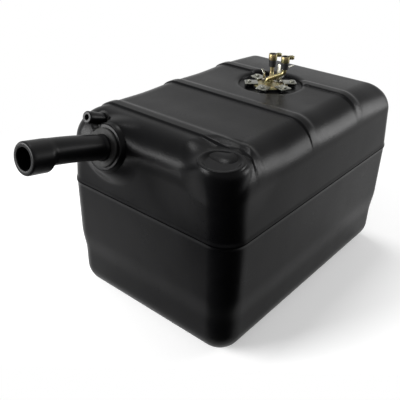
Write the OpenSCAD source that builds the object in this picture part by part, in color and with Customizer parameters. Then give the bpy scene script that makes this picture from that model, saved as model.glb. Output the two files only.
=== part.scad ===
// Fuel tank of a small off-road car: a one-piece moulded shell with its filler
// pipe, vent stub and level sender. +X runs from the filler end to the far end,
// +Z is up, and the origin is the centre of the tank's bottom.

/* [Tank] */
// Length of the tank at its seam
tank_len = 480; // [440:5:560]
// Width of the tank at its seam
tank_wid = 324; // [300:1:380]
// Height of the tank's top
tank_height = 320; // [310:1:380]
// Thickness of the moulded wall
wall = 6; // [4:0.5:8]
// Radius of the upright corners
corner_r = 30; // [28:1:45]
// Radius of the bottom edge
bottom_r = 40; // [20:1:50]
// Height that the rounded top edge takes up
top_round_rise = 54; // [30:1:60]
// Distance that the rounded top edge reaches inwards
top_round_run = 46; // [42:1:50]
// Height of the moulding seam
seam_z = 203; // [160:1:220]
// How far the seam stands out of the walls
seam_proud = 2.2; // [0.5:0.1:4]
// Half the height of the seam ridge
seam_half = 6; // [3:0.5:10]
// Draft angle of the walls above the seam
upper_draft = 2.6; // [0:0.1:4]
// Draft angle of the walls below the seam
lower_draft = 0.3; // [0:0.1:2]
// Height of the step in the lower walls
step_z = 90; // [70:1:120]
// How far the walls step in below it
step_in = 3; // [0:0.5:6]

/* [Ribs] */
// Number of ribs across the top
rib_count = 3; // [1:1:3]
// Distance from the filler end to the middle of the first rib
rib_first_in = 72; // [66:1:90]
// Distance from rib to rib
rib_pitch = 139; // [100:1:145]
// Width of a rib
rib_w = 30; // [20:1:40]
// Height of a rib
rib_h = 4.5; // [1:0.5:8]
// Depth of the dished panels between the ribs
panel_dish = 2; // [0:0.5:6]
// How far the top falls at the far end
far_fall = 5; // [0:0.5:8]
// How far down the walls the ribs reach
rib_reach = 52; // [40:1:70]

/* [Corner pad] */
// Distance from the filler end to the middle of the pad
pad_in_x = 30; // [28:1:50]
// Distance from the side to the middle of the pad
pad_in_y = 43; // [40:0.5:60]
// Depth of the pad's floor below the top
pad_drop = 9.5; // [6:0.5:12]
// Outer radius of the pad's rim
pad_r = 30; // [24:1:32]
// Width of the rim
pad_rim = 2.5; // [1:0.5:4]
// Height of the rim above the floor
pad_lip = 2; // [0.5:0.5:4]
// Tilt of the pad towards the tank's corner
pad_tilt = 8; // [4:1:12]

/* [Filler] */
// Place of the filler pipe across the tank
filler_y = 65; // [40:1:80]
// Depth below the top at which the filler pipe goes through the end wall
filler_drop = 36; // [35:1:60]
// Rise of the pipe where it leaves the tank
filler_rise = 18; // [8:1:22]
// How far the pipe bends back towards level on its way out
filler_bend = 7; // [4:1:12]
// Bend radius of the pipe
filler_bend_r = 810; // [500:10:1000]
// Outer diameter of the pipe
filler_od = 36.5; // [34:0.5:42]
// Bore of the pipe
filler_bore = 30; // [26:0.5:32]
// Outer diameter of the hose end
hose_end_od = 44.5; // [43:0.5:50]
// Length of the hose end
hose_end_len = 41; // [30:1:50]
// Straight pipe between the wall and the bend
filler_root_len = 10; // [9:1:40]
// Length of the pipe inside the tank
filler_inside_len = 34; // [24:1:60]
// Outer radius of the moulded collar round the filler pipe
collar_r = 40; // [37:1:46]
// How far the collar stands out of the end wall
collar_out = 5; // [3:0.5:10]

/* [Vent] */
// Place of the vent stub across the tank
vent_y = 96; // [90:1:110]
// Depth of the vent stub's root below the top
vent_drop = 9; // [7:1:20]
// Outer diameter of the vent stub
vent_od = 18; // [16:0.5:20]
// Rise of the vent stub
vent_rise = 21; // [10:1:25]
// Bore of the vent stub
vent_bore = 7.4; // [5:0.1:9]
// Length of the vent stub outside its boss
vent_len = 33; // [20:1:45]

/* [Sender mount] */
// Middle of the sender along the tank
sender_x = 72; // [40:1:80]
// Middle of the sender across the tank
sender_y = 0; // [-20:1:20]
// Radius of the round recess
recess_r = 53; // [50:1:58]
// Depth of the recess floor below the top
recess_depth = 7; // [6:0.5:14]
// Radius of the sender hole
sender_hole_r = 24; // [22:0.5:25]
// Radius of the sender's flange
flange_r = 30; // [28.5:0.5:30.5]
// Thickness of the flange
flange_t = 2.2; // [1.5:0.1:3]
// Thickness of the gasket
gasket_t = 2.5; // [1:0.5:4]
// Direction of the first clamp plate
plate_turn = 13; // [0:1:30]
// Length of a clamp plate
plate_len = 22; // [18:1:24]
// Width of a clamp plate
plate_wid = 19; // [14:0.5:21]
// Thickness of a clamp plate
plate_t = 2.5; // [1.5:0.1:4]
// Radius of the circle of screws
screw_circle_r = 36.5; // [36:0.5:38]
// Diameter of the clamp screws
screw_d = 5; // [4:0.5:6]
// Length of the screws under the head
screw_len = 12; // [10:0.5:14]

/* [Pipes and hoses] */
// Outer diameter of the feed and return pipes
pipe_od = 7; // [6:0.5:7.5]
// Bore of the feed and return pipes
pipe_bore = 5; // [3:0.5:5.5]
// Bend radius of the pipes, along their middle
pipe_bend_r = 6; // [5:0.5:6]
// Outer diameter of the hose stubs
hose_od = 12; // [11:0.5:14]
// Height of the hose stubs' lower ends above the flange
hose_rise = 23; // [23:0.5:30]
// Length of the hose stubs
hose_len = 21.5; // [18:0.5:30]
// Width of the hose clips' bands
clip_wid = 10; // [6:0.5:12]
// Thickness of the hose clips' bands
clip_t = 1; // [0.6:0.1:1.6]
// Height of the tail of the clips
clip_tail = 8; // [5:0.5:12]

/* [Level sender] */
// Depth of the float arm's pivot below the top, as a share of the tank's height
pivot_share = 0.485; // [0.45:0.005:0.5]
// Length of the float arm from hinge to float
arm_len = 138; // [125:1:145]
// Space under the float when the tank is empty
float_clear = 21; // [16:1:40]
// Steepest that the float arm hangs
arm_steepest = 70; // [60:1:75]
// Diameter of the arm's wire
arm_d = 3; // [2:0.5:4]
// Diameter of the float
float_d = 32; // [26:1:38]
// Length of the float
float_len = 46; // [36:1:50]
// Diameter of the hinge pin
pin_d = 4; // [3:0.5:6]
// Distance of the strainer from the tank's inner bottom
strainer_gap = 8; // [4:1:20]

/* [Clearances] */
// Gap round pieces that are fitted by hand
fit_gap = 0.3; // [0.2:0.05:0.5]
// Gap round pieces that are pressed or screwed in
close_gap = 0.05; // [0.02:0.01:0.1]
// Radial clearance of the hinge pin
pivot_gap = 0.05; // [0.02:0.01:0.1]

/* [Hidden] */
$fn = 64;
plate_count = 6;
half_len = tank_len / 2;
half_wid = tank_wid / 2;
// How far a cut runs past the face that it starts from
overcut = 1;

// Steps of the skin's rounded edges and corners, for the outside and the inside
outer_steps = 7;
inner_steps = 4;
// Plan radius that is left where the rounded edges run out
edge_r = 1.5;
// Height over which the lower walls step in
step_run = 12;
// Height over which the ribs grow out of the walls
rib_grow = 34;
// A rib's profile in rib widths: its steep front, its crown and its easy back
rib_front = 0.28;
rib_crown = 0.04;
rib_back = 0.46;
rib_samples = 7;
panel_samples = 3;

rib_xs = [for (i = [0 : rib_count - 1]) rib_first_in - half_len + i * rib_pitch];
rib_end_x = rib_xs[rib_count - 1];

function smooth(t) = let (c = min(max(t, 0), 1)) c * c * (3 - 2 * c);

// Rise of a rib at u rib widths from its middle
function rib_shape(u) = smooth((u + 0.5) / rib_front) - smooth((u - rib_crown) / rib_back);

// Relief of the top along the tank: the ribs, the dished panels and the fall of the far end
function relief(x) =
    rib_h * max([for (rx = rib_xs) rib_shape((x - rx) / rib_w)])
    - (x > rib_xs[0] && x < rib_end_x
        ? panel_dish * pow(sin(180 * (x - rib_xs[0]) / rib_pitch), 2) : 0)
    - far_fall * smooth((x - rib_end_x) / (half_len - rib_end_x));

// How far the wall lies inside the seam's outline at height z
function wall_inset(z) =
    seam_proud * smooth(abs(z - seam_z) / seam_half)
    + (z > seam_z ? (z - seam_z) * tan(upper_draft) : (seam_z - z) * tan(lower_draft))
    + step_in * smooth(0.5 + (step_z - z) / step_run);

// Places along the tank where the long walls are cut: the ribs and the panels between them
rib_stations = [for (i = [rib_count - 1 : -1 : 0]) each concat(
    [for (k = [rib_samples - 1 : -1 : 0]) rib_xs[i] + rib_w * (k / (rib_samples - 1) - 0.5)],
    i == 0 ? [] : [for (k = [1 : panel_samples])
        rib_xs[i] - rib_w / 2 - k * (rib_pitch - rib_w) / (panel_samples + 1)])];

// One level of the skin: the points round the tank at height z, for a wall that is inset
// and rounded in plan to r, and that faces up by tilt
function skin_level(z, inset, r, tilt, steps, stations) =
    let (a = half_len - inset, b = half_wid - inset,
         half = concat(
             [for (i = [0 : steps]) let (t = 90 * i / steps)
                 [a - r + r * cos(t), b - r + r * sin(t), t]],
             [for (x = stations) [x, b, 90]],
             [for (i = [0 : steps]) let (t = 90 + 90 * i / steps)
                 [r - a + r * cos(t), b - r + r * sin(t), t]]),
         fade = smooth((z - tank_height + rib_reach) / rib_grow))
    [for (p = concat(half, [for (i = [len(half) - 1 : -1 : 0]) [half[i][0], -half[i][1], -half[i][2]]]))
        let (d = fade * relief(p[0]))
        [p[0] + d * cos(tilt) * cos(p[2]), p[1] + d * cos(tilt) * sin(p[2]), z + d * sin(tilt)]];

// All levels of a skin that lies the depth t inside the tank's surface, from bottom to top
function skin_levels(t, steps, stations) =
    let (low = bottom_r, high = tank_height - top_round_rise, plan_r = corner_r - t - edge_r)
    concat(
        [for (i = [0 : steps]) let (s = 90 * i / steps)
            skin_level(low - (low - t) * cos(s), wall_inset(low) + t + (low - t) * (1 - sin(s)),
                edge_r + plan_r * sin(s), s - 90, steps, stations)],
        [for (z = [step_z - step_run / 2, step_z, step_z + step_run / 2,
                   seam_z - seam_half, seam_z - seam_half / 2, seam_z,
                   seam_z + seam_half / 2, seam_z + seam_half])
            skin_level(z, wall_inset(z) + t, corner_r - t, 0, steps, stations)],
        [for (i = [0 : steps]) let (s = 90 * i / steps)
            skin_level(high + (top_round_rise - t) * sin(s),
                wall_inset(high) + t + (top_round_run - t) * (1 - cos(s)),
                edge_r + plan_r * cos(s), s, steps, stations)]);

// Closed solid through the levels, with a ladder of faces across its bottom and its top
module skin(t, steps, stations) {
    levels = skin_levels(t, steps, stations);
    n = len(levels[0]);
    last = len(levels) - 1;
    walls = [for (k = [0 : last - 1], j = [0 : n - 1])
        let (a = k * n + j, b = k * n + (j + 1) % n)
        each [[a, a + n, b], [b, a + n, b + n]]];
    ladder = [for (j = [0 : n / 2 - 2]) let (m = n - 1 - j)
        each [[j, j + 1, m], [j + 1, m - 1, m]]];
    top = [for (f = ladder) [f[2], f[1], f[0]] + last * n * [1, 1, 1]];
    polyhedron([for (l = levels) each l], concat(walls, ladder, top));
}

// How far the end wall lies inside the seam's outline on the rounded top edge at height z
function top_edge_inset(z) =
    let (high = tank_height - top_round_rise, s = asin((z - high) / top_round_rise))
    wall_inset(high) + top_round_run * (1 - cos(s));

// Corner pad: a dished round boss that leans out over the corner
pad_foot = 30;
pad_foot_in = 7;
module on_pad() {
    translate([pad_in_x - half_len, pad_in_y - half_wid, tank_height - pad_drop])
        rotate([0, 0, 225]) rotate([0, pad_tilt, 0]) children();
}

// Filler: the axis rises out of the end wall and bends back towards level
grommet_t = 5;
grommet_lip = 5;
grommet_lip_t = 3.5;
grommet_deep = 16;
filler_hole_r = filler_od / 2 + grommet_t;
collar_barrel_r = filler_hole_r + grommet_lip + 4;
collar_root = 12;
collar_deep = 36;
collar_soft = 1.5;
hose_end_taper = 6;
hose_end_lap = 13;
hose_end_ease = 1.5;
hose_end_soft = 2.5;
hose_end_lift = 0.25;
module on_filler() {
    translate([-half_len, filler_y, tank_height - filler_drop]) rotate([0, filler_rise - 90, 0]) children();
}

// Vent stub: a smaller fitting on the rounded edge above the filler
vent_shank_r = vent_od / 2 - 3;
vent_grommet_t = 3;
vent_lip_t = 2.5;
vent_boss_wall = 3.5;
vent_boss_deep = 16;
vent_tail = 3;
vent_soft = 1.5;
vent_hole_r = vent_shank_r + vent_grommet_t;
vent_boss_r = vent_hole_r + vent_boss_wall;
module on_vent() {
    z = tank_height - vent_drop;
    translate([top_edge_inset(z) - half_len, vent_y, z]) rotate([0, vent_rise - 90, 0]) children();
}

// Sender mount: levels of the stack from the recess floor upwards
recess_z = tank_height - recess_depth;
flange_z = recess_z + gasket_t;
plate_z = flange_z + flange_t;
screw_head_z = plate_z + plate_t;
boss_r = 6;
seat_sunk = 1;
insert_r = 4;
insert_len = 10;
insert_floor = 3;
module on_sender(z = 0) { translate([sender_x, sender_y, z]) children(); }
module at_plate(i) { rotate([0, 0, plate_turn + i * 360 / plate_count]) children(); }
module at_screw(i) { at_plate(i) translate([screw_circle_r, 0, 0]) children(); }

module tank_shell() color([0.09, 0.09, 0.095]) difference() {
    union() {
        difference() {
            union() {
                difference() {
                    skin(0, outer_steps, rib_stations);
                    skin(wall, inner_steps, rib_stations);
                }
                on_sender(recess_z - wall)
                    cylinder(r = recess_r + wall, h = wall + recess_depth - panel_dish - seat_sunk);
                on_pad() translate([0, 0, -pad_foot])
                    cylinder(r1 = pad_r - pad_foot_in, r2 = pad_r, h = pad_foot + pad_lip);
                on_filler() rotate_extrude() polygon([
                    [0, -collar_deep], [collar_barrel_r, -collar_deep], [collar_r, -collar_root],
                    [collar_barrel_r, 0], [collar_barrel_r, collar_out - collar_soft],
                    [collar_barrel_r - collar_soft, collar_out], [0, collar_out]]);
                on_vent() translate([0, 0, -vent_boss_deep]) cylinder(r = vent_boss_r, h = vent_boss_deep);
            }
            on_sender(recess_z) cylinder(r = recess_r, h = 2 * recess_depth);
            on_pad() cylinder(r = pad_r - pad_rim, h = 2 * pad_r);
            on_pad() translate([0, 0, -pad_foot - overcut])
                cylinder(r1 = pad_r - pad_foot_in - wall, r2 = pad_r - wall, h = pad_foot + overcut - wall);
        }
        on_sender(plate_z - insert_len - insert_floor) for (i = [0 : plate_count - 1])
            at_screw(i) cylinder(r = boss_r, h = insert_len + insert_floor);
    }
    on_sender(recess_z - wall - overcut) cylinder(r = sender_hole_r, h = wall + 2 * overcut);
    on_sender(plate_z - insert_len) for (i = [0 : plate_count - 1])
        at_screw(i) cylinder(r = insert_r, h = insert_len + overcut);
    on_filler() translate([0, 0, -collar_deep - overcut])
        cylinder(r = filler_hole_r, h = collar_deep + collar_out + 2 * overcut);
    on_vent() translate([0, 0, -vent_boss_deep - overcut])
        cylinder(r = vent_hole_r, h = vent_boss_deep + 2 * overcut);
    on_vent() cylinder(r = vent_boss_r + fit_gap, h = vent_len);
}

// Straight run and bends of a pipe: each starts at the origin, heads for +Z and bends towards +X
module bend(r, angle) {
    translate([r, 0, 0]) rotate([90, 0, 180]) rotate_extrude(angle = angle) translate([r, 0]) children();
}
module after_bend(r, angle) {
    translate([r * (1 - cos(angle)), 0, r * sin(angle)]) rotate([0, angle, 0]) children();
}

module filler_grommet() color([0.12, 0.12, 0.12]) on_filler() rotate_extrude() polygon([
    [filler_od / 2 + close_gap, -grommet_deep], [filler_hole_r - close_gap, -grommet_deep],
    [filler_hole_r - close_gap, collar_out], [filler_hole_r + grommet_lip, collar_out],
    [filler_hole_r + grommet_lip, collar_out + grommet_lip_t - collar_soft],
    [filler_hole_r + grommet_lip - collar_soft, collar_out + grommet_lip_t],
    [filler_od / 2 + close_gap, collar_out + grommet_lip_t]]);

// The hose end is set low, so that the pipe's upper line runs through
hose_end_drop = (hose_end_od - filler_od) / 2 - hose_end_lift;
module at_filler_bend() { translate([0, 0, filler_root_len]) rotate([0, 0, 180]) children(); }
module after_filler_bend() { at_filler_bend() after_bend(filler_bend_r, filler_bend) children(); }
module filler_pipe() color([0.1, 0.1, 0.1]) on_filler() difference() {
    union() {
        translate([0, 0, -filler_inside_len])
            cylinder(d = filler_od, h = filler_inside_len + filler_root_len);
        at_filler_bend() bend(filler_bend_r, filler_bend) circle(d = filler_od);
        after_filler_bend() translate([hose_end_drop, 0, -hose_end_lap]) rotate_extrude() polygon([
            [0, 0], [filler_od / 2, 0], [hose_end_od / 2, hose_end_taper],
            [hose_end_od / 2, hose_end_len - hose_end_soft],
            [hose_end_od / 2 - hose_end_soft, hose_end_len], [0, hose_end_len]]);
    }
    translate([0, 0, -filler_inside_len - overcut])
        cylinder(d = filler_bore, h = filler_inside_len + filler_root_len + overcut);
    at_filler_bend() bend(filler_bend_r, filler_bend) circle(d = filler_bore);
    after_filler_bend() translate([hose_end_drop, 0, hose_end_taper - hose_end_lap]) {
        cylinder(d = filler_bore, h = hose_end_len);
        translate([0, 0, -hose_end_ease])
            cylinder(d1 = filler_bore + 2 * hose_end_ease, d2 = filler_bore, h = hose_end_ease);
    }
}

module vent_grommet() color([0.12, 0.12, 0.12]) on_vent() rotate_extrude() polygon([
    [vent_shank_r + close_gap, -vent_boss_deep], [vent_hole_r - close_gap, -vent_boss_deep],
    [vent_hole_r - close_gap, 0], [vent_boss_r, 0], [vent_boss_r, vent_lip_t],
    [vent_shank_r + close_gap, vent_lip_t]]);

module vent_spigot() color([0.1, 0.1, 0.1]) on_vent() rotate_extrude() polygon([
    [vent_bore / 2, -vent_boss_deep - vent_tail], [vent_shank_r, -vent_boss_deep - vent_tail],
    [vent_shank_r, vent_lip_t], [vent_od / 2, vent_lip_t], [vent_od / 2, vent_len - vent_soft],
    [vent_od / 2 - vent_soft, vent_len], [vent_bore / 2, vent_len]]);

// Places on the flange, as a radius and a direction from the sender's middle; the places of the
// hoses also say how much higher than hose_rise they stand
feed_foot = [11, 30];
feed_top = [19, 30, 0];
return_foot = [6.5, 95];
return_top = [21.5, -63, 2.5];
feed_slant = 45;
return_slant = 65;
signal_place = [18.3, -36];
warning_place = [16.5, 78];
earth_place = [18.5, -12];
function place(p) = [p[0] * cos(p[1]), p[0] * sin(p[1]), 0];
function bearing(a, b) = let (d = place(b) - place(a)) atan2(d[1], d[0]);
module at_place(p) { translate(place(p)) rotate([0, 0, p[1]]) children(); }

insulator_r = 2.6;
insulator_rise = 2.5;
insulator_drop = 3;
stud_r = 1.5;
stud_drop = 6;
rivet_r = 1.6;
rivet_head_r = 3;
rivet_foot_r = 2;
rivet_head_t = 1.2;
tab_wid = 8;
tab_t = 1;
tab_foot = 8;
tab_height = 29;
tab_hole_r = 2.1;
tab_hole_drop = 18;

module sender_gasket() color([0.1, 0.1, 0.1]) on_sender(recess_z) difference() {
    cylinder(r = flange_r, h = gasket_t);
    translate([0, 0, -overcut]) cylinder(r = sender_hole_r, h = gasket_t + 2 * overcut);
}

module sender_flange() color([0.62, 0.55, 0.33]) on_sender(flange_z) difference() {
    rotate_extrude() polygon([[0, 0], [flange_r, 0], [flange_r, flange_t - flange_soft],
        [flange_r - flange_soft, flange_t], [0, flange_t]]);
    for (p = [feed_foot, return_foot]) translate(place(p) - [0, 0, overcut])
        cylinder(d = pipe_od + 2 * close_gap, h = flange_t + 2 * overcut);
    for (p = [signal_place, warning_place]) translate(place(p) - [0, 0, overcut])
        cylinder(r = insulator_r + close_gap, h = flange_t + 2 * overcut);
    at_place(earth_place) translate([-tab_foot / 2, 0, -overcut])
        cylinder(r = rivet_r + close_gap, h = flange_t + 2 * overcut);
}

// A clamp plate: its inner end holds the flange's rim, and its screw stands on the boss
plate_overhang = 7;
flange_soft = 0.6;
plate_soft = 1;
module clamp_plate(i) color([0.75, 0.75, 0.73]) on_sender(plate_z) at_plate(i) difference() {
    translate([screw_circle_r + plate_overhang - plate_len, 0, 0]) linear_extrude(plate_t) polygon([
        [0, plate_soft - plate_wid / 2], [plate_soft, -plate_wid / 2],
        [plate_len - plate_soft, -plate_wid / 2], [plate_len, plate_soft - plate_wid / 2],
        [plate_len, plate_wid / 2 - plate_soft], [plate_len - plate_soft, plate_wid / 2],
        [plate_soft, plate_wid / 2], [0, plate_wid / 2 - plate_soft]]);
    translate([screw_circle_r, 0, -overcut]) cylinder(d = screw_d + 2 * fit_gap, h = plate_t + 2 * overcut);
}

washer_t = 0.8;
washer_r = screw_d / 2 + 1.6;
head_r = screw_d / 2 + 1.8;
head_t = 2.2;
head_dome = 1.2;
slot_wid = 1.2;
slot_deep = 1.4;
module spring_washers() color([0.7, 0.7, 0.68]) on_sender(screw_head_z) for (i = [0 : plate_count - 1])
    at_screw(i) difference() {
        cylinder(r = washer_r, h = washer_t);
        translate([0, 0, -overcut]) cylinder(d = screw_d + 2 * fit_gap, h = washer_t + 2 * overcut);
        translate([0, -slot_wid / 2, -overcut]) cube([2 * washer_r, slot_wid, washer_t + 2 * overcut]);
    }

module clamp_screws() color([0.8, 0.8, 0.78]) on_sender(screw_head_z + washer_t)
    for (i = [0 : plate_count - 1])
    at_screw(i) difference() {
        union() {
            translate([0, 0, -screw_len]) cylinder(d = screw_d, h = screw_len + overcut);
            rotate_extrude() polygon([[0, 0], [head_r, 0], [head_r, head_t - head_dome],
                [head_r - head_dome, head_t], [0, head_t]]);
        }
        for (turn = [0, 90]) rotate([0, 0, turn])
            translate([-head_r / 2, -slot_wid / 2, head_t - slot_deep])
            cube([head_r, slot_wid, slot_deep + overcut]);
    }

module threaded_inserts() color([0.7, 0.58, 0.3]) on_sender(plate_z - insert_len)
    for (i = [0 : plate_count - 1])
    at_screw(i) difference() {
        cylinder(r = insert_r - close_gap, h = insert_len);
        translate([0, 0, -overcut]) cylinder(d = screw_d + 2 * close_gap, h = insert_len + 2 * overcut);
    }

// Feed and return pipes: up through the flange, then in a double bend to the hose above
hose_z = plate_z + hose_rise;
pipe_start = 2;
pipe_top = hose_len - clip_wid / 2;
pipe_sides = 16;
bend_steps = 5;

// Double bend in the plane of a pipe: offset, height and slant of points that run up from
// -drop, over by the offset and on up to the top
function bend_path(r, angle, offset, drop, top) =
    let (slant_len = (offset - 2 * r * (1 - cos(angle))) / sin(angle),
         rise = 2 * r * sin(angle) + slant_len * cos(angle))
    concat(
        [[0, -drop, 0]],
        [for (i = [0 : bend_steps]) let (t = angle * i / bend_steps) [r * (1 - cos(t)), r * sin(t), t]],
        [for (i = [bend_steps : -1 : 0]) let (t = angle * i / bend_steps)
            [offset - r * (1 - cos(t)), rise - r * sin(t), t]],
        [[offset, top, 0]]);

function ring_at(p, r) = [for (i = [0 : pipe_sides - 1]) let (a = 360 * i / pipe_sides)
    [p[0] + r * cos(a) * cos(p[2]), r * sin(a), p[1] - r * cos(a) * sin(p[2])]];

// Tube along a path: an outer and an inner wall that meet in a rim at each end
module tube_along(path, r_out, r_in) {
    n = pipe_sides;
    inner = len(path) * n;
    top = inner - n;
    points = concat([for (p = path) each ring_at(p, r_out)], [for (p = path) each ring_at(p, r_in)]);
    walls = [for (k = [0 : len(path) - 2], i = [0 : n - 1])
        let (a = k * n + i, b = k * n + (i + 1) % n)
        each [[a, a + n, b], [b, a + n, b + n],
              inner * [1, 1, 1] + [a, b, a + n], inner * [1, 1, 1] + [b, b + n, a + n]]];
    rims = [for (i = [0 : n - 1]) let (a = i, b = (i + 1) % n)
        each [[a, b, inner + a], [b, inner + b, inner + a],
              [top + b, top + a, inner + top + a], [top + b, inner + top + a, inner + top + b]]];
    polyhedron(points, concat(walls, rims));
}
module flange_pipe(foot, top, slant, drop) color([0.66, 0.58, 0.33])
    on_sender(plate_z + pipe_start) translate(place(foot)) rotate([0, 0, bearing(foot, top)])
        tube_along(bend_path(pipe_bend_r, slant, norm(place(top) - place(foot)), drop,
            hose_rise + top[2] - pipe_start + pipe_top), pipe_od / 2, pipe_bore / 2);

strainer_r = 11;
strainer_h = 18;
strainer_wall = 1.5;
strainer_neck = 4;
window_wid = 3.5;
strainer_windows = 10;
strainer_neck_r = pipe_od / 2 + close_gap;
strainer_z = wall + strainer_gap;
return_drop = 30;
module feed_pipe() flange_pipe(feed_foot, feed_top, feed_slant,
    plate_z + pipe_start - strainer_z - strainer_h + strainer_neck);
module return_pipe() flange_pipe(return_foot, return_top, return_slant, return_drop);

module pickup_strainer() color([0.85, 0.85, 0.8])
    on_sender(strainer_z) translate(place(feed_foot)) difference() {
    cylinder(r = strainer_r, h = strainer_h);
    translate([0, 0, strainer_wall])
        cylinder(r = strainer_r - strainer_wall, h = strainer_h - strainer_wall - strainer_neck);
    translate([0, 0, strainer_h - strainer_neck - overcut])
        cylinder(r = strainer_neck_r, h = strainer_neck + 2 * overcut);
    for (i = [0 : strainer_windows - 1]) rotate([0, 0, i * 360 / strainer_windows])
        translate([strainer_r / 2, -window_wid / 2, 2 * strainer_wall])
            cube([strainer_r, window_wid, strainer_h - strainer_neck - 3 * strainer_wall]);
}

module hose_stub(top) color([0.1, 0.1, 0.1]) on_sender(hose_z + top[2]) translate(place(top)) difference() {
    cylinder(d = hose_od, h = hose_len);
    translate([0, 0, -overcut]) cylinder(d = pipe_od + 2 * close_gap, h = hose_len + 2 * overcut);
}
module feed_hose_stub() hose_stub(feed_top);
module return_hose_stub() hose_stub(return_top);

// Hose clips: a split band with two ears that a screw draws together
clip_turn = -28;
clip_r = hose_od / 2 + close_gap;
ear_gap = 3;
ear_t = 1.2;
ear_height = 5.6;
ear_z = clip_wid - ear_height;
clip_z = hose_z + hose_len - clip_wid;
clip_screw_r = 1.5;
clip_head_r = 2.8;
clip_head_t = 2;
module at_clip(top) {
    on_sender(clip_z + top[2]) translate(place(top)) rotate([0, 0, clip_turn]) children();
}
module hose_clip(top) color([0.66, 0.58, 0.33]) at_clip(top) difference() {
    union() {
        cylinder(r = clip_r + clip_t, h = clip_wid);
        for (side = [-1, 1]) translate([clip_r, side * (ear_gap + ear_t) / 2 - ear_t / 2, ear_z])
            cube([clip_t + clip_tail, ear_t, ear_height]);
    }
    translate([0, 0, -overcut]) cylinder(r = clip_r, h = clip_wid + 2 * overcut);
    translate([0, -ear_gap / 2, -overcut]) cube([2 * clip_r, ear_gap, clip_wid + 2 * overcut]);
    translate([clip_r + clip_t + clip_tail / 2, -clip_r, ear_z + ear_height / 2]) rotate([-90, 0, 0])
        cylinder(r = clip_screw_r + close_gap, h = 2 * clip_r);
}
module feed_hose_clip() hose_clip(feed_top);
module return_hose_clip() hose_clip(return_top);

module clip_screws() color([0.7, 0.62, 0.38]) for (top = [feed_top, return_top])
    at_clip(top) translate([clip_r + clip_t + clip_tail / 2, -ear_gap / 2 - ear_t, ear_z + ear_height / 2])
        rotate([-90, 0, 0]) {
        translate([0, 0, -clip_head_t]) cylinder(r = clip_head_r, h = clip_head_t);
        cylinder(r = clip_screw_r, h = ear_gap + 2 * ear_t + clip_head_t);
    }

// Terminals on the flange
blade_wid = 4.8;
blade_t = 0.8;
// Height of a blade's upright, and the length and the lean of the blade itself
signal_form = [21, 22, 74];
warning_form = [12, 9, 40];
module terminal_insulators() color([0.25, 0.2, 0.15]) on_sender(flange_z - insulator_drop)
    for (p = [signal_place, warning_place]) translate(place(p)) difference() {
        cylinder(r = insulator_r, h = insulator_drop + flange_t + insulator_rise);
        translate([0, 0, -overcut])
            cylinder(r = stud_r + close_gap, h = insulator_drop + flange_t + insulator_rise + 2 * overcut);
    }

// A blade: a stud through its insulator, a short upright and a long blade that leans outwards
module terminal_blade(p, form) color([0.78, 0.78, 0.75])
    on_sender(plate_z + insulator_rise) at_place(p) {
        translate([0, 0, -insulator_rise - flange_t - stud_drop])
            cylinder(r = stud_r, h = stud_drop + flange_t + insulator_rise + blade_t);
        translate([-blade_t / 2, -blade_wid / 2, 0]) cube([blade_t, blade_wid, form[0]]);
        translate([0, 0, form[0] - blade_t]) rotate([0, form[2], 0])
            translate([-blade_t / 2, -blade_wid / 2, 0]) cube([blade_t, blade_wid, form[1]]);
    }
module signal_blade() terminal_blade(signal_place, signal_form);
module warning_blade() terminal_blade(warning_place, warning_form);

module earth_tab() color([0.74, 0.72, 0.62]) on_sender(plate_z) at_place(earth_place) difference() {
    union() {
        translate([-tab_foot, -tab_wid / 2, 0]) cube([tab_foot, tab_wid, tab_t]);
        translate([-tab_t, -tab_wid / 2, 0]) cube([tab_t, tab_wid, tab_height]);
    }
    translate([-tab_foot / 2, 0, -overcut]) cylinder(r = rivet_r + close_gap, h = tab_t + 2 * overcut);
    translate([-tab_t - overcut, 0, tab_height - tab_hole_drop]) rotate([0, 90, 0])
        cylinder(r = tab_hole_r, h = tab_t + 2 * overcut);
}

module earth_rivet() color([0.7, 0.62, 0.4]) on_sender(flange_z) at_place(earth_place)
    translate([-tab_foot / 2, 0, 0]) {
        cylinder(r = rivet_r, h = flange_t + tab_t);
        translate([0, 0, -rivet_head_t]) cylinder(r = rivet_foot_r, h = rivet_head_t);
        translate([0, 0, flange_t + tab_t]) cylinder(r1 = rivet_head_r, r2 = rivet_r, h = rivet_head_t);
    }

// Level sender: a stem under the flange carries a case with a resistor card; the float arm
// turns on a pin in the case, and its wiper sweeps over the card
pivot_z = tank_height * (1 - pivot_share);
arm_reach_down = pivot_z - wall - float_clear - float_d / 2;
arm_low = min(arm_steepest, asin(min(1, arm_reach_down / arm_len)));
stem_x = -2;
stem_y = -5;
stem_wid = 12;
stem_t = 2;
stem_low = 12;
stem_foot = 9;
case_wid = 24;
case_height = 36;
case_deep = 9;
case_wall = 1.5;
card_wid = 18;
card_height = 26;
card_t = 1;
pin_head_r = pin_d / 2 + 1.5;
pin_head_t = 1.2;
hub_r = pin_d / 2 + 2.5;
hub_len = 12;
wiper_t = 1;
wiper_wid = 4;
wiper_reach = 8;
wiper_tip_r = 1.2;
lead_d = 2;
tag_t = 3;
tag_z = pivot_z + case_height / 2;
signal_at = place(signal_place);
case_y = stem_y - stem_t / 2;
card_y = case_y - case_wall;
hub_y = card_y - card_t - 2.5;
pin_end_y = hub_y - hub_len - fit_gap;
arm_y = hub_y - hub_len + 4;

// Frame of the hinge: Y along the pin, with the pin's middle line at the origin
module on_pivot(y = 0) { translate([sender_x + stem_x, sender_y + y, pivot_z]) children(); }
// A round bar along -Y from the plane y, and the same for the moving pieces at their stored angle
module bar_y(r, h) { rotate([90, 0, 0]) cylinder(r = r, h = h); }
module on_arm(y = 0) { on_pivot(y) rotate([0, -arm_low, 0]) children(); }

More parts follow.
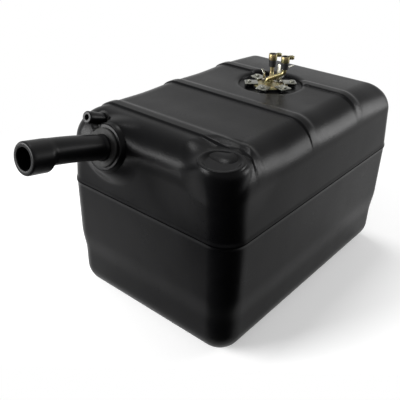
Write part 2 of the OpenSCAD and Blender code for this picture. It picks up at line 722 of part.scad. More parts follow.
module sender_stem() color([0.66, 0.58, 0.33]) difference() {
    union() {
        translate([sender_x + stem_x - stem_wid / 2, sender_y + stem_y - stem_t / 2, pivot_z - stem_low])
            cube([stem_wid, stem_t, flange_z - pivot_z + stem_low]);
        on_sender(flange_z - stem_t)
            translate([stem_x - stem_wid / 2, stem_y + stem_t / 2 - stem_foot, 0])
            cube([stem_wid, stem_foot, stem_t]);
    }
    on_pivot(stem_y + stem_t / 2 + overcut) bar_y(pin_d / 2 + close_gap, stem_t + 2 * overcut);
}

// The case has a tag at its side, which the lead of the signal terminal comes down to
module rheostat_case() color([0.3, 0.3, 0.3]) difference() {
    union() {
        on_pivot(case_y) translate([-case_wid / 2, -case_deep, -case_height / 2])
            cube([case_wid, case_deep, case_height]);
        on_sender(tag_z - tag_t) translate([stem_x + case_wid / 2 - case_wall, signal_at[1] - lead_d, 0])
            cube([signal_at[0] + lead_d - stem_x - case_wid / 2 + case_wall, 2 * lead_d, tag_t]);
    }
    on_pivot(card_y) translate([case_wall - case_wid / 2, -case_deep, case_wall - case_height / 2])
        cube([case_wid - 2 * case_wall, case_deep, case_height - 2 * case_wall]);
    on_pivot(case_y + overcut) bar_y(pin_d / 2 + close_gap, case_wall + 2 * overcut);
}

module resistor_card() color([0.8, 0.75, 0.6]) difference() {
    on_pivot(card_y) translate([-card_wid / 2, -card_t, -card_height / 2])
        cube([card_wid, card_t, card_height]);
    on_pivot(card_y + overcut) bar_y(pin_d / 2 + fit_gap, card_t + 2 * overcut);
}

module pivot_pin() color([0.75, 0.75, 0.75]) on_pivot() {
    translate([0, stem_y + stem_t / 2 + pin_head_t, 0]) bar_y(pin_head_r, pin_head_t);
    translate([0, stem_y + stem_t / 2, 0]) bar_y(pin_d / 2, stem_y + stem_t / 2 - pin_end_y);
    translate([0, pin_end_y, 0]) bar_y(pin_head_r, pin_head_t);
}

arm_turn_r = 5;
arm_tail = 4;
retainer_r = 4;
retainer_t = 1.2;
float_y = arm_y - arm_turn_r - fit_gap;
module float_arm() color([0.72, 0.72, 0.7]) on_arm() difference() {
    union() {
        translate([0, hub_y, 0]) bar_y(hub_r, hub_len);
        translate([0, arm_y, 0]) rotate([0, -90, 0]) cylinder(d = arm_d, h = arm_len - arm_turn_r);
        translate([arm_turn_r - arm_len, arm_y - arm_turn_r, 0]) rotate([0, 0, 90])
            rotate_extrude(angle = 90) translate([arm_turn_r, 0]) circle(d = arm_d);
        translate([-arm_len, arm_y - arm_turn_r, 0]) bar_y(arm_d / 2, float_len + arm_tail);
    }
    translate([0, hub_y + overcut, 0]) bar_y(pin_d / 2 + pivot_gap, hub_len + 2 * overcut);
}

module wiper_arm() color([0.8, 0.7, 0.4]) on_arm() difference() {
    union() {
        translate([0, hub_y + wiper_t, 0]) bar_y(hub_r, wiper_t);
        translate([0, hub_y, -wiper_wid / 2]) cube([wiper_reach, wiper_t, wiper_wid]);
        translate([wiper_reach, card_y - card_t - fit_gap, 0])
            bar_y(wiper_tip_r, card_y - card_t - fit_gap - hub_y);
    }
    translate([0, hub_y + wiper_t + overcut, 0]) bar_y(pin_d / 2 + pivot_gap, wiper_t + 2 * overcut);
}

float_soft = 3;
module level_float() color([0.2, 0.2, 0.2]) on_arm() translate([-arm_len, float_y, 0]) rotate([90, 0, 0])
    rotate_extrude() polygon([
        [arm_d / 2 + close_gap, 0], [float_d / 2 - float_soft, 0], [float_d / 2, float_soft],
        [float_d / 2, float_len - float_soft], [float_d / 2 - float_soft, float_len],
        [arm_d / 2 + close_gap, float_len]]);

module float_retainer() color([0.75, 0.75, 0.75])
    on_arm() translate([-arm_len, float_y - float_len, 0]) difference() {
    bar_y(retainer_r, retainer_t);
    translate([0, overcut, 0]) bar_y(arm_d / 2 + close_gap, retainer_t + 2 * overcut);
}

module signal_lead() color([0.5, 0.1, 0.1]) on_sender(tag_z) translate(signal_at)
    cylinder(d = lead_d, h = flange_z - stud_drop - tag_z);

tank_shell();
filler_grommet();
filler_pipe();
vent_grommet();
vent_spigot();
sender_gasket();
sender_flange();
clamp_plate(0);  // clamp_plate_1
clamp_plate(1);  // clamp_plate_2
clamp_plate(2);  // clamp_plate_3
clamp_plate(3);  // clamp_plate_4
clamp_plate(4);  // clamp_plate_5
clamp_plate(5);  // clamp_plate_6
spring_washers();
clamp_screws();
threaded_inserts();
feed_pipe();
return_pipe();
pickup_strainer();
feed_hose_stub();
return_hose_stub();
feed_hose_clip();
return_hose_clip();
clip_screws();
terminal_insulators();
signal_blade();
warning_blade();
earth_tab();
earth_rivet();
sender_stem();
rheostat_case();
resistor_card();
pivot_pin();
float_arm();
wiper_arm();
level_float();
float_retainer();
signal_lead();
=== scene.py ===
# Car fuel tank: a one-piece moulded black tank with its filler pipe, vent and level sender.
# All sizes are in millimetres until makePiece turns them into metres.
import bpy
import bmesh
import numpy as np
from mathutils import Matrix, Vector
from mathutils.geometry import delaunay_2d_cdt


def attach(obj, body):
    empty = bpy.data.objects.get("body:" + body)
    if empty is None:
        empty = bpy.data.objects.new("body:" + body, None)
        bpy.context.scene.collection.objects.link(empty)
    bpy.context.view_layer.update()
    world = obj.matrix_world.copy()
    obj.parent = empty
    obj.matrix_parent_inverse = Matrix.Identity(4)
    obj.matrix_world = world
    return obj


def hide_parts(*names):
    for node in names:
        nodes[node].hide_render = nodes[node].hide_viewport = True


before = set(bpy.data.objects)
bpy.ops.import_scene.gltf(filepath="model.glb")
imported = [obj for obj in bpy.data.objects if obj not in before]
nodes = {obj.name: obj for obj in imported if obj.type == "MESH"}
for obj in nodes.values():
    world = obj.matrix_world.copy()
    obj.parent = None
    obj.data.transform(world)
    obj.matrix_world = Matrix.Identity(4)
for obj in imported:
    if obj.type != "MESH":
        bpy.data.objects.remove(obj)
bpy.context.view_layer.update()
mm = 0.001
turn = 2 * np.pi
print("frame loaded:", len(nodes), "nodes")


# Meshes

def unit(v):
    # Vectors scaled to length one
    return v / np.linalg.norm(v, axis=-1, keepdims=True)


def circle(n):
    # Points of the unit circle
    a = np.arange(n) * turn / n
    return np.stack([np.cos(a), np.sin(a)], 1)


def gridFaces(rows, cols, first=0, closeRows=False):
    # Quads of a grid whose columns run round and close; rows close too on a ring-shaped piece
    r = np.arange(rows if closeRows else rows - 1)[:, None]
    c = np.arange(cols)[None, :]
    a = r * cols + c
    b = r * cols + (c + 1) % cols
    up = ((r + 1) % rows) * cols
    quads = np.stack([a, b, up + (c + 1) % cols, up + c], -1).reshape(-1, 4)
    return quads + first


def cappedFaces(rows, cols):
    # Quads of a grid whose columns run round, with one face over each end
    ends = np.arange(cols)[None]
    return [gridFaces(rows, cols), ends[:, ::-1], ends + (rows - 1) * cols]


def makePiece(name, blocks, material, replaced, crease=None, weld=1e-7):
    # Joins (points, faces) blocks into one mesh; normals are turned outwards and edges sharper
    # than the crease angle stay sharp
    points = np.concatenate([b[0] for b in blocks]) * mm
    starts = np.cumsum([0] + [len(b[0]) for b in blocks[:-1]])
    faces = [f for (pts, sets), start in zip(blocks, starts) for s in sets for f in (s + start).tolist()]
    mesh = bpy.data.meshes.new(name)
    mesh.from_pydata(points.tolist(), [], faces)
    work = bmesh.new()
    work.from_mesh(mesh)
    bmesh.ops.remove_doubles(work, verts=work.verts, dist=weld)
    bmesh.ops.recalc_face_normals(work, faces=work.faces)
    work.to_mesh(mesh)
    work.free()
    mesh.shade_smooth()
    if crease:
        mesh.set_sharp_from_angle(angle=np.radians(crease))
    piece = bpy.data.objects.new(name, mesh)
    bpy.context.scene.collection.objects.link(piece)
    mesh.materials.append(material)
    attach(piece, "tank")
    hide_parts(*replaced)
    return piece


def rectangle(left, right, low, high):
    # Four corners, anticlockwise
    return np.array([(left, low), (right, low), (right, high), (left, high)], float)


def axesFor(along, near):
    # Three unit rows: across, aside and along, with across as near the second direction as it can be
    k = unit(np.array(along, float))
    i = unit(np.array(near, float) - np.dot(near, k) * k)
    return np.stack([i, np.cross(k, i), k])


def soften(corners, radius, steps=4, closed=False):
    # Profile with every corner rounded: the arc is drawn between the two points where a circle of
    # that radius, cut down on short sides, meets the corner's legs
    p = np.array(corners, float)
    rs = np.broadcast_to(np.array(radius, float), len(p))
    nearlyStraight, legShare = 1.5, 0.48
    out = []
    for i in range(len(p)):
        before, after = p[i - 1] - p[i], p[(i + 1) % len(p)] - p[i]
        la, lb = np.linalg.norm(before), np.linalg.norm(after)
        end = not closed and i in (0, len(p) - 1)
        half = 0 if end else np.arccos(np.clip(np.dot(before / la, after / lb), -1, 1)) / 2
        if end or rs[i] <= 0 or half > nearlyStraight:
            out.append(p[i][None])
            continue
        ua, ub = before / la, after / lb
        reach = min(rs[i] / np.tan(half), legShare * la, legShare * lb)
        mid = p[i] + unit(ua + ub) * reach * np.tan(half) / np.sin(half)
        s, e = p[i] + ua * reach - mid, p[i] + ub * reach - mid
        sweep = np.arctan2(s[0] * e[1] - s[1] * e[0], np.dot(s, e))
        t = np.linspace(0, sweep, steps + 1)[:, None]
        out.append(mid + s * np.cos(t) + np.array([-s[1], s[0]]) * np.sin(t))
    return np.concatenate(out)


def lathe(profile, origin=(0, 0, 0), axes=np.eye(3), segments=48, closed=True):
    # Profile of (radius, height) carried round the axis; an open profile gets an end face on each side
    p = np.array(profile, float)
    x, y = circle(segments).T
    local = np.stack([p[:, :1] * x, p[:, :1] * y, np.repeat(p[:, 1:], segments, 1)], -1)
    faces = [gridFaces(len(p), segments, closeRows=True)] if closed else cappedFaces(len(p), segments)
    return local.reshape(-1, 3) @ axes + np.array(origin, float), faces


def sweepTube(path, outer, inner, across, segments):
    # Ring of the outer radius carried along the path and back again with the inner radius; the
    # path lies in a plane that the across direction stands square to
    p = np.array(path, float)
    side = unit(np.array(across, float))
    up = np.cross(unit(np.gradient(p, axis=0)), side)
    x, y = circle(segments).T
    spokes = x[None, :, None] * up[:, None] + y[None, :, None] * side
    pts = np.concatenate([p[:, None] + outer * spokes, (p[:, None] + inner * spokes)[::-1]])
    return pts.reshape(-1, 3), [gridFaces(len(pts), segments, closeRows=True)]


def plateSolid(outline, hole, thick, edge, place, axes, steps=3):
    # Flat plate: its edge is a rounded profile carried round the outline, and its faces run from
    # the outline to the hole, or close over where there is none
    o = np.array(outline, float)
    n = len(o)
    tang = unit(unit(np.roll(o, -1, 0) - o) + unit(o - np.roll(o, 1, 0)))
    inward = np.stack([-tang[:, 1], tang[:, 0]], 1)
    a = np.linspace(0, np.pi / 2, steps + 1)
    rim = np.concatenate([np.stack([edge * (1 - np.sin(a)), edge * (1 - np.cos(a))], 1),
                          np.stack([edge * (1 - np.cos(a)), thick - edge + edge * np.sin(a)], 1)])
    rows = [np.column_stack([o + inward * i, np.full(n, h)]) for i, h in rim]
    faces = cappedFaces(len(rows), n)
    if hole is not None:
        rows += [np.column_stack([hole, np.full(n, h)]) for h in (thick, 0.0)]
        faces = [gridFaces(len(rows), n, closeRows=True)]
    return np.concatenate(rows) @ axes + np.array(place, float), faces


# Tank skin

tank = dict(
    halfLen=240.0, halfWid=162.0, height=320.0, wall=6.0, cornerR=30.0, padCornerR=37.0, edgeR=1.5,
    bottomR=40.0, roundRise=54.0, roundRun=46.0, upperDraft=2.6, lowerDraft=0.3,
    seamZ=203.0, seamProud=2.2, seamRidge=0.9, seamHalf=7.0, seamLine=(0.8, 2.0),
    stepZ=90.0, stepIn=3.0, stepRun=44.0,
    ribXs=(-168.0, -29.0, 110.0), ribW=30.0, ribH=2.5, ribFront=0.11, ribCrown=0.0, ribBack=0.36,
    ribPitch=139.0, ribFade=((0.4, 46.0, 30.0), (0.6, 26.0, 26.0)), dish=1.4, farFall=5.0,
    swellAt=(-252.9, 56.4), swellSpan=(72.0, 115.0), swellH=4.5,
    padAt=(-213.1, -112.4), padClear=(31.6, 9.0), padSwell=(120.0, 10.0))


def smooth(t):
    # Eases from 0 to 1
    c = np.clip(t, 0, 1)
    return c * c * (3 - 2 * c)


def relief(x):
    # Ribs with a steep front and an easy back, dished panels between them, and the far end's fall
    g = tank
    u = [(x - rib) / g["ribW"] for rib in g["ribXs"]]
    ribs = np.max([smooth((v + 0.5) / g["ribFront"]) - smooth((v - g["ribCrown"]) / g["ribBack"])
                   for v in u], 0)
    first, last = g["ribXs"][0], g["ribXs"][-1]
    dish = np.where((x > first) & (x < last), np.sin(np.pi * (x - first) / g["ribPitch"]) ** 2, 0)
    fall = smooth((x - last) / (g["halfLen"] - last))
    return g["ribH"] * ribs - g["dish"] * dish - g["farFall"] * fall


def wallInset(z):
    # Low seam ridge with the mould's parting line cut in it, draft above and below, and the step of
    # the lower walls
    g = tank
    draft = np.where(z > g["seamZ"], np.tan(np.radians(g["upperDraft"])),
                     -np.tan(np.radians(g["lowerDraft"])))
    off = np.abs(z - g["seamZ"])
    lineHalf, lineDeep = g["seamLine"]
    seam = g["seamProud"] - g["seamRidge"] * (1 - smooth(off / g["seamHalf"])) + lineDeep * (off < lineHalf)
    return (seam + (z - g["seamZ"]) * draft
            + g["stepIn"] * smooth(0.5 + (g["stepZ"] - z) / g["stepRun"]))


highZ = tank["height"] - tank["roundRise"]
coreX = tank["halfLen"] - wallInset(highZ) - tank["roundRun"] - tank["edgeR"]
coreY = tank["halfWid"] - wallInset(highZ) - tank["roundRun"] - tank["edgeR"]
edgeWalk = np.pi / 4 * np.sqrt(2 * (tank["roundRise"] ** 2 + tank["roundRun"] ** 2))
wallStart = tank["edgeR"] + edgeWalk + highZ  # less a height, the way from the flat top to that height


def nearestCore(q):
    # Nearest point of the flat top
    return np.clip(q, (-coreX, -coreY), (coreX, coreY))


def skinPoint(q, inset=0.0):
    # Unrolled plan to skin: q is the flat top's plan, grown outwards by the way walked down over the
    # rounded edge and the wall. The nearest point of the flat top gives the side or the corner, the
    # distance from it gives the height, and the ribs and the swells round the filler and the pad push
    # out along the edge's own slope. A rib dies out at the pad
    g = tank
    c = nearestCore(q)
    e = q - c
    away = np.linalg.norm(e, axis=1)
    n = e / np.maximum(away, 1e-9)[:, None]
    d = np.maximum(away - g["edgeR"], 0)
    s = np.radians(90) * np.clip(1 - d / edgeWalk, 0, 1)
    down = np.maximum(d - edgeWalk, 0)
    straight = highZ - g["bottomR"]
    low = np.clip((down - straight) / (np.pi / 2 * g["bottomR"]), 0, 1) * np.pi / 2
    onWall = highZ - np.minimum(down, straight)
    z = onWall + (g["roundRise"] - inset) * np.sin(s) - (g["bottomR"] - inset) * np.sin(low)
    off = (wallInset(onWall) + inset + (g["roundRun"] - inset) * (1 - np.cos(s))
           + (g["bottomR"] - inset) * (1 - np.cos(low)))
    corner = np.where((q < 0).all(1), g["padCornerR"], g["cornerR"])  # the pad's corner is rounder
    r = g["edgeR"] + (corner - inset - g["edgeR"]) * np.cos(s) * np.cos(low)
    halves = np.stack([g["halfLen"] - off - r, g["halfWid"] - off - r], 1)
    flat = (away <= g["edgeR"])[:, None]
    plan = np.where(flat, q, c * halves / (coreX, coreY) + n * r[:, None])
    fade = sum(share * smooth((z - g["height"] + reach) / grow) for share, reach, grow in g["ribFade"])
    swell = smooth(1 - np.linalg.norm((q - g["swellAt"]) / g["swellSpan"], axis=1))
    fromPad = np.linalg.norm(q - g["padAt"], axis=1)
    clear = smooth((fromPad - g["padClear"][0]) / g["padClear"][1])
    out = smooth(1 - fromPad / g["padSwell"][0]) * np.cos(s) * np.cos(low)
    lift = relief(plan[:, 0]) * fade * clear + g["swellH"] * swell + g["padSwell"][1] * out
    tilt = s - low
    return np.column_stack([plan + n * (lift * np.cos(tilt))[:, None], z + lift * np.sin(tilt)])


# Round features on the skin: origin and axis in space, middle on the unrolled plan, rings of radius
# and height from the inside out, and the radii between which the form runs out into the skin

def leaning(degrees):
    # Axes of a stub that points out of the filler's end and rises by an angle
    a = np.radians(degrees)
    return np.array([[np.sin(a), 0, np.cos(a)], [0, 1, 0], [-np.cos(a), 0, np.sin(a)]])


def flatRings(start, end, count, height):
    # Evenly spaced rings at one height
    return np.column_stack([np.linspace(start, end, count), np.full(count, height)])


fillerAxes = leaning(degrees=18)
fillerFoot = np.array([-240.0, 65.0, 284.0])
sender = np.array([72.0, 0.0, 0.0])
# Heights of what is stacked on the recess floor, and the ring of clamp plates
mount = dict(floorZ=313.0, flangeZ=315.5, plateZ=317.7, headZ=320.2, count=6, first=13.0, circle=36.5)
collar = dict(
    foot=fillerFoot, axes=fillerAxes, middle=tank["swellAt"], columns=120, run=(38.0, 56.0), runRows=14,
    dome=True, rings=soften([(23.25, -12), (23.25, 5), (34.0, 5), (36.0, -4.0)], (0, 1.0, 2.6, 0), 5))
recess = dict(
    foot=sender + (0, 0, mount["floorZ"]), axes=np.eye(3), middle=sender[:2], columns=168,
    run=(53.4, 63.0), runRows=9,
    rings=np.concatenate([[(24, -6), (24, 0)], flatRings(25, 47.5, 22, 0.0),
                          soften([(48.5, 0), (52.0, 0), (53.4, 3.0)], (0, 3.2, 0), 5)]))
padTilt = np.radians(2.5)
padLean = np.sin(padTilt) * np.sqrt(0.5)
padFloor = dict(depth=-1.4, rise=3.6, start=21.0, run=7.2)
padSlope = np.linspace(0.5, 7.0, 14)
pad = dict(
    foot=np.array([-211.0, -120.0, 312.5]), axes=axesFor((-padLean, -padLean, np.cos(padTilt)), (1, 0, 0)),
    middle=tank["padAt"], columns=240, run=(31.6, 60.0), runRows=36, dome=True,
    rings=np.concatenate([
        flatRings(0.5, padFloor["start"], 9, padFloor["depth"]),
        np.column_stack([padFloor["start"] + padSlope,
                         padFloor["depth"] + padFloor["rise"] * smooth(padSlope / padFloor["run"])]),
        soften([(28.2, 2.2), (30.8, 2.2), (31.6, 0.0)], (0, 2.0, 0), 6)]))


def featurePoints(f, inset=0.0):
    # The rings themselves, then the run-out, which carries the last ring's offset from the skin down
    # to nothing: a quarter round, upright at the ring and level at the skin, or an ogee on a dome
    ring = circle(f["columns"])
    rings = np.array([np.column_stack([r * ring, np.full(len(ring), h)]) for r, h in f["rings"]])
    own = rings @ f["axes"] + f["foot"]
    onPlan = lambda rho: skinPoint(np.array(f["middle"]) + rho * ring, inset)
    start, end = f["run"]
    offset = own[-1] - onPlan(start)
    t = np.linspace(0, 1, f["runRows"] + 1)[1:]
    grown, left = 1 - np.cos(t * np.pi / 2), 1 - np.sin(t * np.pi / 2)
    if f.get("dome"):
        grown, left = t, 1 - smooth(t)
    reach = start + (end - start) * grown
    out = np.array([onPlan(rho) + offset * share for rho, share in zip(reach, left)])
    return np.concatenate([own, out]), np.array(f["middle"]) + end * ring


grid = dict(spacing=3.2, corner=14, leastCorner=4, cornerWay=1.57, frontFrom=-0.4, frontTo=5.0,
            frontStep=0.8, clear=0.55, splitZ=212.0, bottomRows=12, floorRows=13, floorHole=0.04)


def planRow(away, xs, ys, corner):
    # Points round the unrolled plan at one distance, corner by corner
    k = np.linspace(0, np.pi / 2, corner + 2)[1:-1]

    def arc(cx, cy, start):
        # Quarter circle round one corner of the flat top
        return np.stack([cx + away * np.cos(start + k), cy + away * np.sin(start + k)], 1)

    def side(x, y):
        # Straight side, with x or y fixed
        return np.stack(np.broadcast_arrays(x, y), 1)

    return np.concatenate([
        side(coreX + away, ys), arc(coreX, coreY, 0), side(xs[::-1], coreY + away),
        arc(-coreX, coreY, np.pi / 2), side(-coreX - away, ys[::-1]), arc(-coreX, -coreY, np.pi),
        side(xs, -coreY - away), arc(coreX, -coreY, 1.5 * np.pi)])


def skinBlock(features, inset, spacing, levels):
    # Skin as one mesh: the top, its rounded edge and the upper walls are triangles over the unrolled
    # plan, so that round features can be set in; the lower walls and the bottom are rows round the tank
    g = grid
    xs = np.linspace(-coreX, coreX, int(2 * coreX / spacing))
    ys = np.linspace(-coreY, coreY, int(2 * coreY / spacing))
    if not inset:  # finer columns at the ribs' steep fronts
        steps = np.arange(g["frontFrom"], g["frontTo"], g["frontStep"])
        fronts = np.add.outer(np.array(tank["ribXs"]) - tank["ribW"] / 2, steps).ravel()
        free = np.abs(np.subtract.outer(xs, fronts)).min(1) > g["frontStep"]
        xs = np.sort(np.concatenate([xs[free], fronts]))
    lastAway = wallStart - g["splitZ"]
    aways = np.linspace(0, lastAway, int(lastAway / spacing) + 1)[1:]
    corner = max(g["leastCorner"], int(g["corner"] * g["spacing"] / spacing))
    inside = np.stack(np.meshgrid(xs, ys), -1).reshape(-1, 2)
    rows = [planRow(d, xs, ys, min(corner, max(1, int(d * g["cornerWay"] / spacing)))) for d in aways[:-1]]
    plan = np.concatenate([inside] + rows)
    for f in features:
        gap = np.linalg.norm(plan - f["middle"], axis=1)
        plan = plan[gap > f["run"][1] + g["clear"] * spacing]
    last = planRow(aways[-1], xs, ys, corner)
    made = [featurePoints(f, inset) for f in features]
    flatPoints = np.concatenate([plan, last] + [ring for pts, ring in made])
    cut = delaunay_2d_cdt([Vector(p) for p in flatPoints], [], [], 0, 1e-7)
    order = np.array([ids[0] for ids in cut[3]])
    tris = order[np.array(cut[2])]
    for f in features:
        gap = np.linalg.norm(flatPoints[tris].mean(1) - f["middle"], axis=1)
        tris = tris[gap > f["run"][1] * np.cos(np.pi / f["columns"])]
    points, faces = [skinPoint(flatPoints, inset)], [tris]
    count = len(flatPoints)
    ringStart = len(plan) + len(last)
    for f, (pts, ring) in zip(features, made):
        n = f["columns"]
        lastRow = count + (len(pts) - 2) * n + np.arange(n)
        outer = ringStart + np.arange(n)
        faces += [gridFaces(len(pts) - 1, n, count),
                  np.stack([lastRow, np.roll(lastRow, -1), np.roll(outer, -1), outer], 1)]
        if f["rings"][0][0] < 1:  # a feature without a hole is closed in its middle
            faces.append((count + np.arange(n))[None])
        points.append(pts[:-1].reshape(-1, 3))
        count += len(points[-1])
        ringStart += n
    columns = len(last)
    core = nearestCore(last)
    away = unit(last - core)
    wallRows = [core + away * (wallStart - z) for z in levels]
    quarter = np.pi / 2 * tank["bottomR"]
    wallRows += [core + away * (wallStart - tank["bottomR"] + k * quarter)
                 for k in np.linspace(0, 1, g["bottomRows"] + 1)[1:]]
    lower = skinPoint(np.concatenate(wallRows), inset).reshape(len(wallRows), columns, 3)
    floor = [lower[-1] * (k, k, 1) for k in np.linspace(1, g["floorHole"], g["floorRows"] + 1)[1:]]
    lower = np.concatenate([lower, floor])
    joint = len(plan) + np.arange(columns)
    first = count + np.arange(columns)
    faces += [np.stack([np.roll(joint, -1), joint, first, np.roll(first, -1)], 1),
              gridFaces(len(lower), columns, count), first[None] + (len(lower) - 1) * columns]
    points.append(lower.reshape(-1, 3))
    return np.concatenate(points), faces


# Materials

def tint(code):
    # sRGB hex to linear colour
    c = np.array([int(code[i:i + 2], 16) for i in (0, 2, 4)]) / 255
    return (*np.where(c <= 0.04045, c / 12.92, ((c + 0.055) / 1.055) ** 2.4), 1.0)


def add(tree, kind, values=(), **settings):
    # Adds one node: settings are its own, values go to its sockets, and a socket as a value is linked
    made = tree.nodes.new("ShaderNode" + kind)
    for key, value in settings.items():
        setattr(made, key, value)
    for key, value in dict(values).items():
        if isinstance(value, bpy.types.NodeSocket):
            tree.links.new(value, made.inputs[key])
        else:
            made.inputs[key].default_value = value
    return made


def startMaterial(name, values):
    # Material with its shader's own values set
    material = bpy.data.materials.new(name)
    material.use_nodes = True
    shader = material.node_tree.nodes["Principled BSDF"]
    for key, value in values.items():
        shader.inputs[key].default_value = value
    return material, material.node_tree, shader


def surface(name, look):
    # One finish: tones that a cloudy pattern mixes, a roughness that follows it, and a bump made of
    # fine grain and slow waviness. Sizes of the patterns are in millimetres
    ends, firstBetween, betweenStep, blendRange = (0.35, 0.68), 0.45, 0.12, (0.7, 1.3)
    material, tree, shader = startMaterial(name, look["shader"])
    at = add(tree, "TexCoord").outputs["Object"]
    if "stretch" in look:
        at = add(tree, "Mapping", {"Vector": at, "Scale": look["stretch"]}).outputs["Vector"]

    def noise(size, detail, rough):
        # Noise of one size
        return add(tree, "TexNoise", {"Vector": at, "Scale": 1 / (size * mm), "Detail": detail,
                                      "Roughness": rough}).outputs["Fac"]

    cloud = noise(look["cloud"], 4.0, 0.55)
    grain = noise(look["grain"], 3.0, 0.6)
    wave = noise(look["wave"][0], 1.0, 0.5)
    mix = add(tree, "ValToRGB", {"Fac": cloud})
    stops = mix.color_ramp.elements
    for i in (0, 1):
        stops[i].position, stops[i].color = ends[i], tint(look["tones"][i])
    for i, tone in enumerate(look["tones"][2:]):
        stops.new(firstBetween + betweenStep * i).color = tint(tone)
    tree.links.new(mix.outputs["Color"], shader.inputs["Base Color"])
    blend = add(tree, "Math", {0: cloud, 1: grain}, operation="ADD")
    rough = add(tree, "MapRange", {
        "Value": blend.outputs["Value"], "From Min": blendRange[0], "From Max": blendRange[1],
        "To Min": look["rough"][0], "To Max": look["rough"][1]})
    tree.links.new(rough.outputs["Result"], shader.inputs["Roughness"])
    slow = add(tree, "Bump", {"Height": wave, "Strength": 1.0, "Distance": look["wave"][1] * mm})
    fine = add(tree, "Bump", {"Height": grain, "Strength": 1.0, "Distance": look["depth"] * mm,
                              "Normal": slow.outputs["Normal"]})
    tree.links.new(fine.outputs["Normal"], shader.inputs["Normal"])
    return material


# Black polyethylene, rotationally moulded: a satin skin with a faint orange peel and soft, uneven
# reflections. The peel of about 1 mm is drawn at 2.6 mm so that it shows
polyethylene = surface("RotomouldedPolyethylene", dict(
    shader={"IOR": 1.51, "Specular IOR Level": 0.065}, tones=("040405", "080809"), cloud=55, grain=2.6,
    depth=0.12, rough=(0.27, 0.36), wave=(70, 0.65)))
# Black nylon, extruded and formed: smoother than the tank, with faint marks along the pipe
nylon = surface("ExtrudedNylon", dict(
    shader={"IOR": 1.53, "Specular IOR Level": 0.10}, tones=("050506", "0a0a0b"), cloud=30, grain=1.6,
    depth=0.03, rough=(0.32, 0.42), wave=(40, 0.2), stretch=(0.35, 1.0, 1.0)))
# Nitrile rubber, moulded: dull black with a dry grey bloom
rubber = surface("MouldedNitrileRubber", dict(
    shader={"IOR": 1.52, "Specular IOR Level": 0.25}, tones=("0c0c0c", "141413"), cloud=9, grain=0.8,
    depth=0.04, rough=(0.62, 0.78), wave=(12, 0.05)))
# Steel with zinc plate and yellow chromate: straw gold that drifts to green and rose
yellowZinc = surface("YellowChromatedZinc", dict(
    shader={"Metallic": 1.0}, tones=("6f6748", "8d8158", "7d7a55", "8a7a5c"), cloud=7, grain=0.7,
    depth=0.02, rough=(0.30, 0.44), wave=(15, 0.04)))
# Steel with bright zinc plate: cool grey with a cloudy shine
brightZinc = surface("BrightZincPlate", dict(
    shader={"Metallic": 1.0}, tones=("62635e", "85857b"), cloud=6, grain=0.6, depth=0.02,
    rough=(0.26, 0.40), wave=(10, 0.04)))
# Brass sheet with tin plate, stamped
tinnedBrass = surface("TinnedBrass", dict(
    shader={"Metallic": 1.0}, tones=("a4a398", "c0beb2"), cloud=5, grain=0.5, depth=0.015,
    rough=(0.24, 0.36), wave=(9, 0.03)))
# Brass, turned
brass = surface("TurnedBrass", dict(
    shader={"Metallic": 1.0}, tones=("a98a47", "c2a35c"), cloud=4, grain=0.4, depth=0.02,
    rough=(0.25, 0.38), wave=(8, 0.03)))
# Phenolic moulding of the sender
phenolic = surface("MouldedPhenolic", dict(
    shader={"IOR": 1.6}, tones=("2a211b", "3a2f27"), cloud=5, grain=0.5, depth=0.02,
    rough=(0.40, 0.55), wave=(10, 0.05)))
# Undyed nylon of the strainer, moulded
strainerNylon = surface("NaturalNylon", dict(
    shader={"IOR": 1.53}, tones=("c6c1ae", "d6d1bf"), cloud=8, grain=0.6, depth=0.02,
    rough=(0.38, 0.50), wave=(10, 0.05)))
# Closed-cell nitrile foam of the float: dull with open pores
foam = surface("NitrileFoam", dict(
    shader={"IOR": 1.5}, tones=("1d1c1b", "2c2a28"), cloud=6, grain=0.9, depth=0.15,
    rough=(0.75, 0.9), wave=(10, 0.1)))
print("materials made")

# Pieces inside the tank keep their solids and get a finish
hiddenNodes = dict(
    threaded_inserts=brass, sender_stem=yellowZinc, rheostat_case=phenolic, resistor_card=phenolic,
    pivot_pin=brightZinc, float_arm=brightZinc, wiper_arm=brass, level_float=foam,
    float_retainer=brightZinc, signal_lead=rubber, pickup_strainer=strainerNylon)
for name, material in hiddenNodes.items():
    nodes[name].data.materials.clear()
    nodes[name].data.materials.append(material)


# Tank shell: the outer skin with its features, and the inner skin one wall in

bosses = dict(footR=7.2, soft=2.2, height=4.7, floorBand=0.5)
ventAxes = leaning(degrees=21)
ventFoot = np.array([-214.37, 96.0, 311.0])
ventSeat = dict(radius=12.8, soft=5.0, reach=40.0)
plateAngles = np.radians(mount["first"]) + np.arange(mount["count"]) * turn / mount["count"]


def spotFace(points, foot, axes, seat):
    # Presses what stands in front of a round seat back to the seat's plane, with a soft edge
    local = (points - foot) @ axes.T
    away = np.hypot(local[:, 0], local[:, 1])
    share = (1 - smooth((away - seat["radius"]) / seat["soft"])) * (local[:, 2] < seat["reach"])
    return points - (np.maximum(local[:, 2], 0) * share)[:, None] * axes[2]


def raiseBosses(points):
    # Round seats for the clamp plates on the recess floor, with soft edges
    mids = sender[:2] + mount["circle"] * np.stack([np.cos(plateAngles), np.sin(plateAngles)], 1)
    away = np.linalg.norm(points[:, None, :2] - mids, axis=2).min(1)
    onFloor = np.abs(points[:, 2] - mount["floorZ"]) < bosses["floorBand"]
    points[:, 2] += onFloor * bosses["height"] * smooth((bosses["footR"] - away) / bosses["soft"])
    return points


